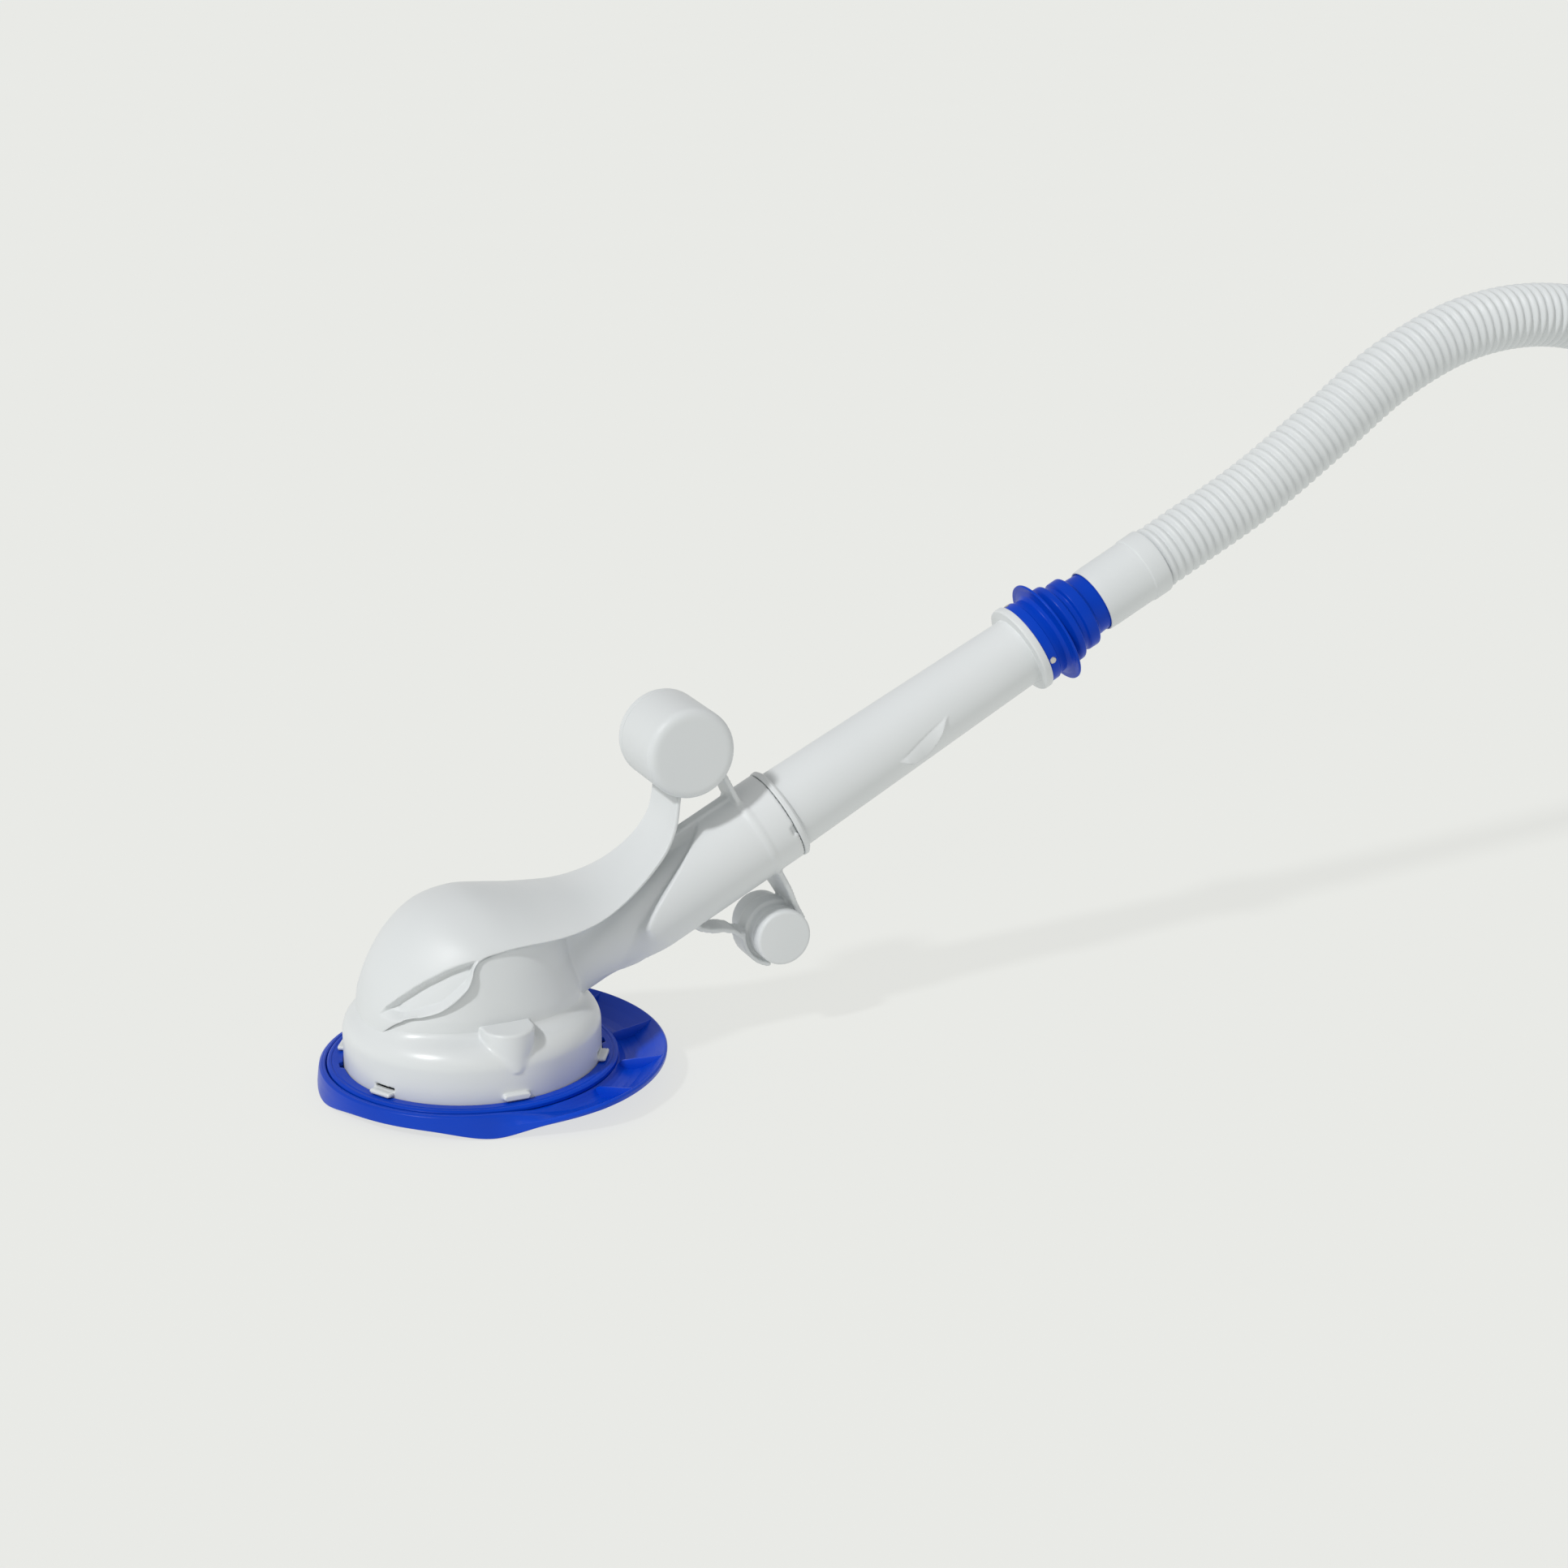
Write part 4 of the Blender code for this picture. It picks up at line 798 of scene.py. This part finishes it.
outer_tube()


# ---------------------------------------------------------------- float and ballast pod
FLOAT = (138.8, 199.7)
FLOAT_RADIUS, FLOAT_HALF, FLOAT_WALL, FLOAT_CORNER = 29.0, 27.4, 2.6, 6.8


def float_pieces():
    """The float's body, and the lid on its far side."""
    place = BODY @ Matrix.Translation((FLOAT[0], 0, FLOAT[1])) @ ALONG_Y
    bore, floor_at = FLOAT_RADIUS - FLOAT_WALL, -FLOAT_HALF + FLOAT_WALL
    shell = rounded([
        (0, -FLOAT_HALF, 0), (FLOAT_RADIUS, -FLOAT_HALF, FLOAT_CORNER), (FLOAT_RADIUS, 20.0, 0.5),
        (bore, 20.0, 0.3), (bore, floor_at, 3.0), (0, floor_at, 0),
    ], 9)
    verts, faces = turned(shell, 120)
    piece("float_body", verts, faces, ROOT, "white_shell", place, ["float_shell"], sharp=50)
    cap = rounded([
        (0, FLOAT_HALF, 0), (FLOAT_RADIUS, FLOAT_HALF, FLOAT_CORNER), (FLOAT_RADIUS, 20.3, 0.5),
        (bore - 0.3, 20.3, 0.2), (bore - 0.3, 15.0, 0.4), (bore - 2.4, 15.0, 0.4),
        (bore - 2.4, -floor_at, 3.0), (0, -floor_at, 0),
    ], 9)
    verts, faces = turned(cap, 120)
    piece("float_lid", verts, faces, ROOT, "white_shell", place, ["float_cap"], sharp=50)


def ballast_lid():
    """The lid on the pod's near side."""
    place = BODY @ Matrix.Translation((POD[0], 0, POD[1])) @ ALONG_Y
    face, joint, bore = -POD_FACE, -13.8, 15.4
    cap = rounded([
        (0, face, 0), (POD_RADIUS, face, 2.3), (POD_RADIUS, joint, 0.4), (bore, joint, 0.2),
        (bore, joint + 3.5, 0.4), (0, joint + 3.5, 0),
    ], 8)
    verts, faces = turned(cap, 96)
    piece("ballast_lid", verts, faces, ROOT, "white_shell", place, ["ballast_cap"], sharp=50)


float_pieces()
ballast_lid()


# ---------------------------------------------------------------- swivel
def swivel():
    """The blue collar screwed to the tube, and the tail that turns in it."""
    start = 432.8
    housing = rounded([
        (25.5, start, 0.2), (28.7, start, 0.7), (28.7, 439.4, 0.4), (28.1, 439.8, 0.3),
        (27.3, 443.6, 1.6), (26.9, 446.0, 1.6), (28.4, 448.2, 1.6), (32.0, 449.0, 1.6),
        (35.5, 449.0, 0.5), (35.7, 450.6, 0.6), (32.5, 451.0, 0.8), (31.5, 451.7, 0.5),
        (21.3, 451.7, 0.4), (21.3, 445.0, 0.3), (25.5, 445.0, 0.2),
    ])
    verts, faces = turned(housing, 128)
    piece("swivel_collar", verts, faces, ROOT, "blue_moulding", TUBE, ["swivel_housing"], sharp=40)
    tail = rounded([
        (16.4, 442.0, 0.3), (24.9, 442.0, 0.4), (24.9, 444.6, 0.4), (20.9, 444.6, 0.4),
        (20.9, 453.2, 1.2), (24.6, 454.2, 1.6), (27.7, 457.6, 2.2), (27.5, 461.6, 1.6),
        (23.4, 463.4, 1.6), (23.2, 466.4, 1.2), (25.1, 467.8, 1.2), (25.2, 474.8, 1.4),
        (21.0, 477.4, 1.6), (20.5, 484.0, 0), (20.5, 512.0, 0.8), (16.4, 512.0, 0.4),
    ])
    verts, faces = turned(tail, 128)
    piece("swivel_spigot", verts, faces, SWIVEL, "blue_moulding", TUBE, ["swivel_tail"], sharp=40)


swivel()


# ---------------------------------------------------------------- disc and its ring
def retaining_ring():
    """The ring over the disc's inner edge, with two notches in its bore."""
    outline = rounded([
        (80.5, 12.8, 0.3), (90.5, 12.8, 0.4), (90.5, 14.9, 0.7), (89.2, 15.9, 0.5),
        (87.9, 16.0, 0.3), (87.4, 15.5, 0.2), (86.7, 15.5, 0.2), (86.2, 15.9, 0.3),
        (84.0, 15.7, 0.6), (80.5, 15.6, 0.4),
    ], 4)
    verts, faces = turned(outline, 240)
    verts = np.array(verts)
    for centre in (-10, 170):
        turn = np.degrees(np.arctan2(verts[:, 1], verts[:, 0])) - centre
        turn = (turn + 180) % 360 - 180
        rho = np.hypot(verts[:, 0], verts[:, 1])
        notch = (np.abs(turn) < 2.8) & (rho < 83.2)
        scale = np.where(notch, 83.2 / rho, 1.0)
        verts[:, :2] *= scale[:, None]
    piece("ring_blue", verts, faces, DISC, "blue_moulding", BODY, ["retaining_ring"], sharp=45)


# The disc's section as (radius, height, corner) at its front and at its rear dish, mm.
FRONT_SECTION = (
    (80.6, 5.6, 0.4), (80.6, 12.3, 0.4), (90.7, 12.3, 0.3), (91.3, 14.4, 0.5), (92.3, 15.0, 0.5),
    (93.0, 14.6, 0.3), (93.8, 14.6, 0.4), (95.2, 13.6, 0.8), (95.9, 10.0, 1.2), (96.3, 6.8, 1.5),
    (96.6, 0.0, 1.0), (94.0, 0.0, 0.8), (93.2, 7.8, 1.5), (90.5, 10.2, 1.2), (85.5, 10.0, 0.8),
    (84.5, 5.6, 0.4),
)
REAR_SECTION = (
    (80.6, 5.6, 0.4), (80.6, 12.3, 0.4), (90.7, 12.3, 0.3), (92.4, 10.2, 1.0), (94.6, 8.4, 1.2),
    (97.5, 7.7, 1.5), (101.0, 7.8, 2.0), (106.0, 9.2, 2.5), (113.5, 13.6, 3.0), (119.6, 18.6, 0.9),
    (121.0, 17.6, 0.8), (120.6, 14.8, 0.8), (112.0, 9.2, 2.0), (103.0, 4.6, 2.0), (93.0, 4.0, 1.5),
    (85.0, 5.6, 0.4),
)
LOBE_ANGLES, LOBE_WIDTH = (100, 180), 17.0        # degrees from the rear; the disc's lower corners
RIB_ANGLES = (-54, -28, 0, 28, 54)
RIB_HALF = 0.9                                    # mm
RIB_STATIONS = (                                  # radius, top and bottom, mm
    (92.0, 12.0, 9.5), (93.5, 13.2, 7.4), (100.0, 14.4, 7.0), (108.0, 15.6, 9.4),
    (115.0, 16.9, 13.6), (118.4, 17.9, 16.6),
)


def rib(angle, first):
    """Vertices and faces of one rib on the rear dish, numbered from the one given."""
    c, s = math.cos(math.radians(angle)), math.sin(math.radians(angle))
    verts, faces = [], []
    for r, high, low in RIB_STATIONS:
        for v, z in ((-RIB_HALF - 0.5, low), (-RIB_HALF, high - 0.7), (-RIB_HALF * 0.5, high),
                     (RIB_HALF * 0.5, high), (RIB_HALF, high - 0.7), (RIB_HALF + 0.5, low)):
            verts.append((r * c - v * s, r * s + v * c, z))
    last = first + 6 * (len(RIB_STATIONS) - 1)
    for start in range(first, last, 6):
        for k in range(6):
            n = (k + 1) % 6
            faces.append((start + k, start + n, start + 6 + n, start + 6 + k))
    faces.append(tuple(range(first, first + 6))[::-1])
    faces.append(tuple(range(last, last + 6)))
    return verts, faces


def skirt_disc():
    """The soft disc: its section goes from the front's to the rear dish's, with ribs behind."""
    steps = 288
    rows = []
    for k in range(steps):
        degrees = 360 * k / steps
        turn = abs((degrees + 180) % 360 - 180)
        rear = float(1 - smoothstep((turn - 60) / 42))
        lobe = max(math.exp(-((turn - at) / LOBE_WIDTH) ** 2) for at in LOBE_ANGLES)
        outline = []
        for i, ((r0, z0, c0), (r1, z1, c1)) in enumerate(zip(FRONT_SECTION, REAR_SECTION)):
            if i in (10, 11):                     # the rim's foot, down on the floor at a lobe
                z0 += 5.6 * (1 - lobe) * (1 - rear)
                r0 += 0.8 * lobe - 0.4 * (1 - lobe)
            outline.append((r0 + (r1 - r0) * rear, z0 + (z1 - z0) * rear, c0 + (c1 - c0) * rear))
        a = math.radians(degrees)
        rows.append([(r * math.cos(a), r * math.sin(a), z) for r, z in rounded(outline, 4)])
    verts, faces = skinned(rows, closed_rows=True)
    verts = verts.tolist()
    for angle in RIB_ANGLES:
        rib_verts, rib_faces = rib(angle, len(verts))
        verts += rib_verts
        faces += rib_faces
    piece("disc_blue", verts, faces, DISC, "disc_vinyl", BODY, ["skirt_disc"], sharp=50)


retaining_ring()
skirt_disc()


# ---------------------------------------------------------------- CAD nodes that show as they are
KEPT = {
    "foot_plate": "blue_moulding", "throat_chamber": "white_shell", "hammer": "wear_plastic",
    "hammer_pin": "screw_steel", "inner_tube": "white_shell", "tube_seal": "seal_rubber",
    "ballast_slug": "ballast_metal", "swivel_washer": "wear_plastic",
}
KEPT.update({f"swivel_screw_{k}": "screw_steel" for k in (1, 2, 3)})
KEPT.update({f"foot_screw_{k}": "screw_steel" for k in (1, 2, 3, 4)})
for name, finish in KEPT.items():
    node = nodes[name]
    if not node.material_slots:
        node.data.materials.append(MATERIALS[finish])
    for holder in node.material_slots:
        holder.material = MATERIALS[finish]


# ---------------------------------------------------------------- floor and light
FLOOR_COLOUR, FLOOR_SHADE = (0.150, 0.152, 0.147), (0.148, 0.150, 0.145)
FLOOR_GLOW, FLOOR_GLOW_STRENGTH = (0.992, 1.0, 0.965), 0.69
FLOOR_HALF, FLOOR_Z = 60, -0.0005                 # metres
HORIZON, SKY = (0.831, 0.838, 0.807, 1), (0.480, 0.480, 0.475, 1)


def floor():
    """A pale floor that glows a little, so that it meets the sky without an edge."""
    m = Nodes("floor_look")
    tint = m.mixed(m.spread(m.noise(3.0, 2.0), 0, 1, 0.3, 0.7), FLOOR_COLOUR, FLOOR_SHADE)
    m.set(Base_Color=tint, Roughness=0.9, Specular_IOR_Level=0.0, Emission_Color=FLOOR_GLOW,
          Emission_Strength=FLOOR_GLOW_STRENGTH)
    mesh = bpy.data.meshes.new("floor")
    corners = ((-1, -1), (1, -1), (1, 1), (-1, 1))
    mesh.from_pydata([(FLOOR_HALF * u, FLOOR_HALF * v, FLOOR_Z) for u, v in corners], [],
                     [(0, 1, 2, 3)])
    mesh.materials.append(m.material)
    made = bpy.data.objects.new("floor", mesh)
    bpy.context.collection.objects.link(made)


def sun(name, towards, strength, softness):
    """A sun whose light comes from the direction given; its softness is in degrees."""
    data = bpy.data.lights.new(name, "SUN")
    data.energy = strength
    data.angle = math.radians(softness)
    made = bpy.data.objects.new(name, data)
    made.rotation_euler = Vector(towards).to_track_quat("Z", "Y").to_euler()
    bpy.context.collection.objects.link(made)


def lights():
    """A sky that is pale at the horizon and dimmer above, one key sun and a weak one in front."""
    world = bpy.data.worlds.new("studio")
    world.use_nodes = True
    tree = world.node_tree
    shade = tree.nodes["Background"]
    split = tree.nodes.new("ShaderNodeSeparateXYZ")
    ramp = tree.nodes.new("ShaderNodeValToRGB")
    coordinate = tree.nodes.new("ShaderNodeTexCoord")
    tree.links.new(coordinate.outputs["Generated"], split.inputs["Vector"])
    tree.links.new(split.outputs["Z"], ramp.inputs["Fac"])
    tree.links.new(ramp.outputs["Color"], shade.inputs["Color"])
    low, high = ramp.color_ramp.elements
    low.position, low.color = 0.06, HORIZON
    high.position, high.color = 0.20, SKY
    bpy.context.scene.world = world
    sun("key", (-0.65, -0.26, 0.71), 1.65, 5)
    sun("front_fill", (-0.40, -0.75, 0.55), 0.10, 14)
    view = bpy.context.scene.view_settings
    view.view_transform = "Standard"
    view.look = "None"
    view.exposure = 0.0
    view.gamma = 1.0


floor()
lights()
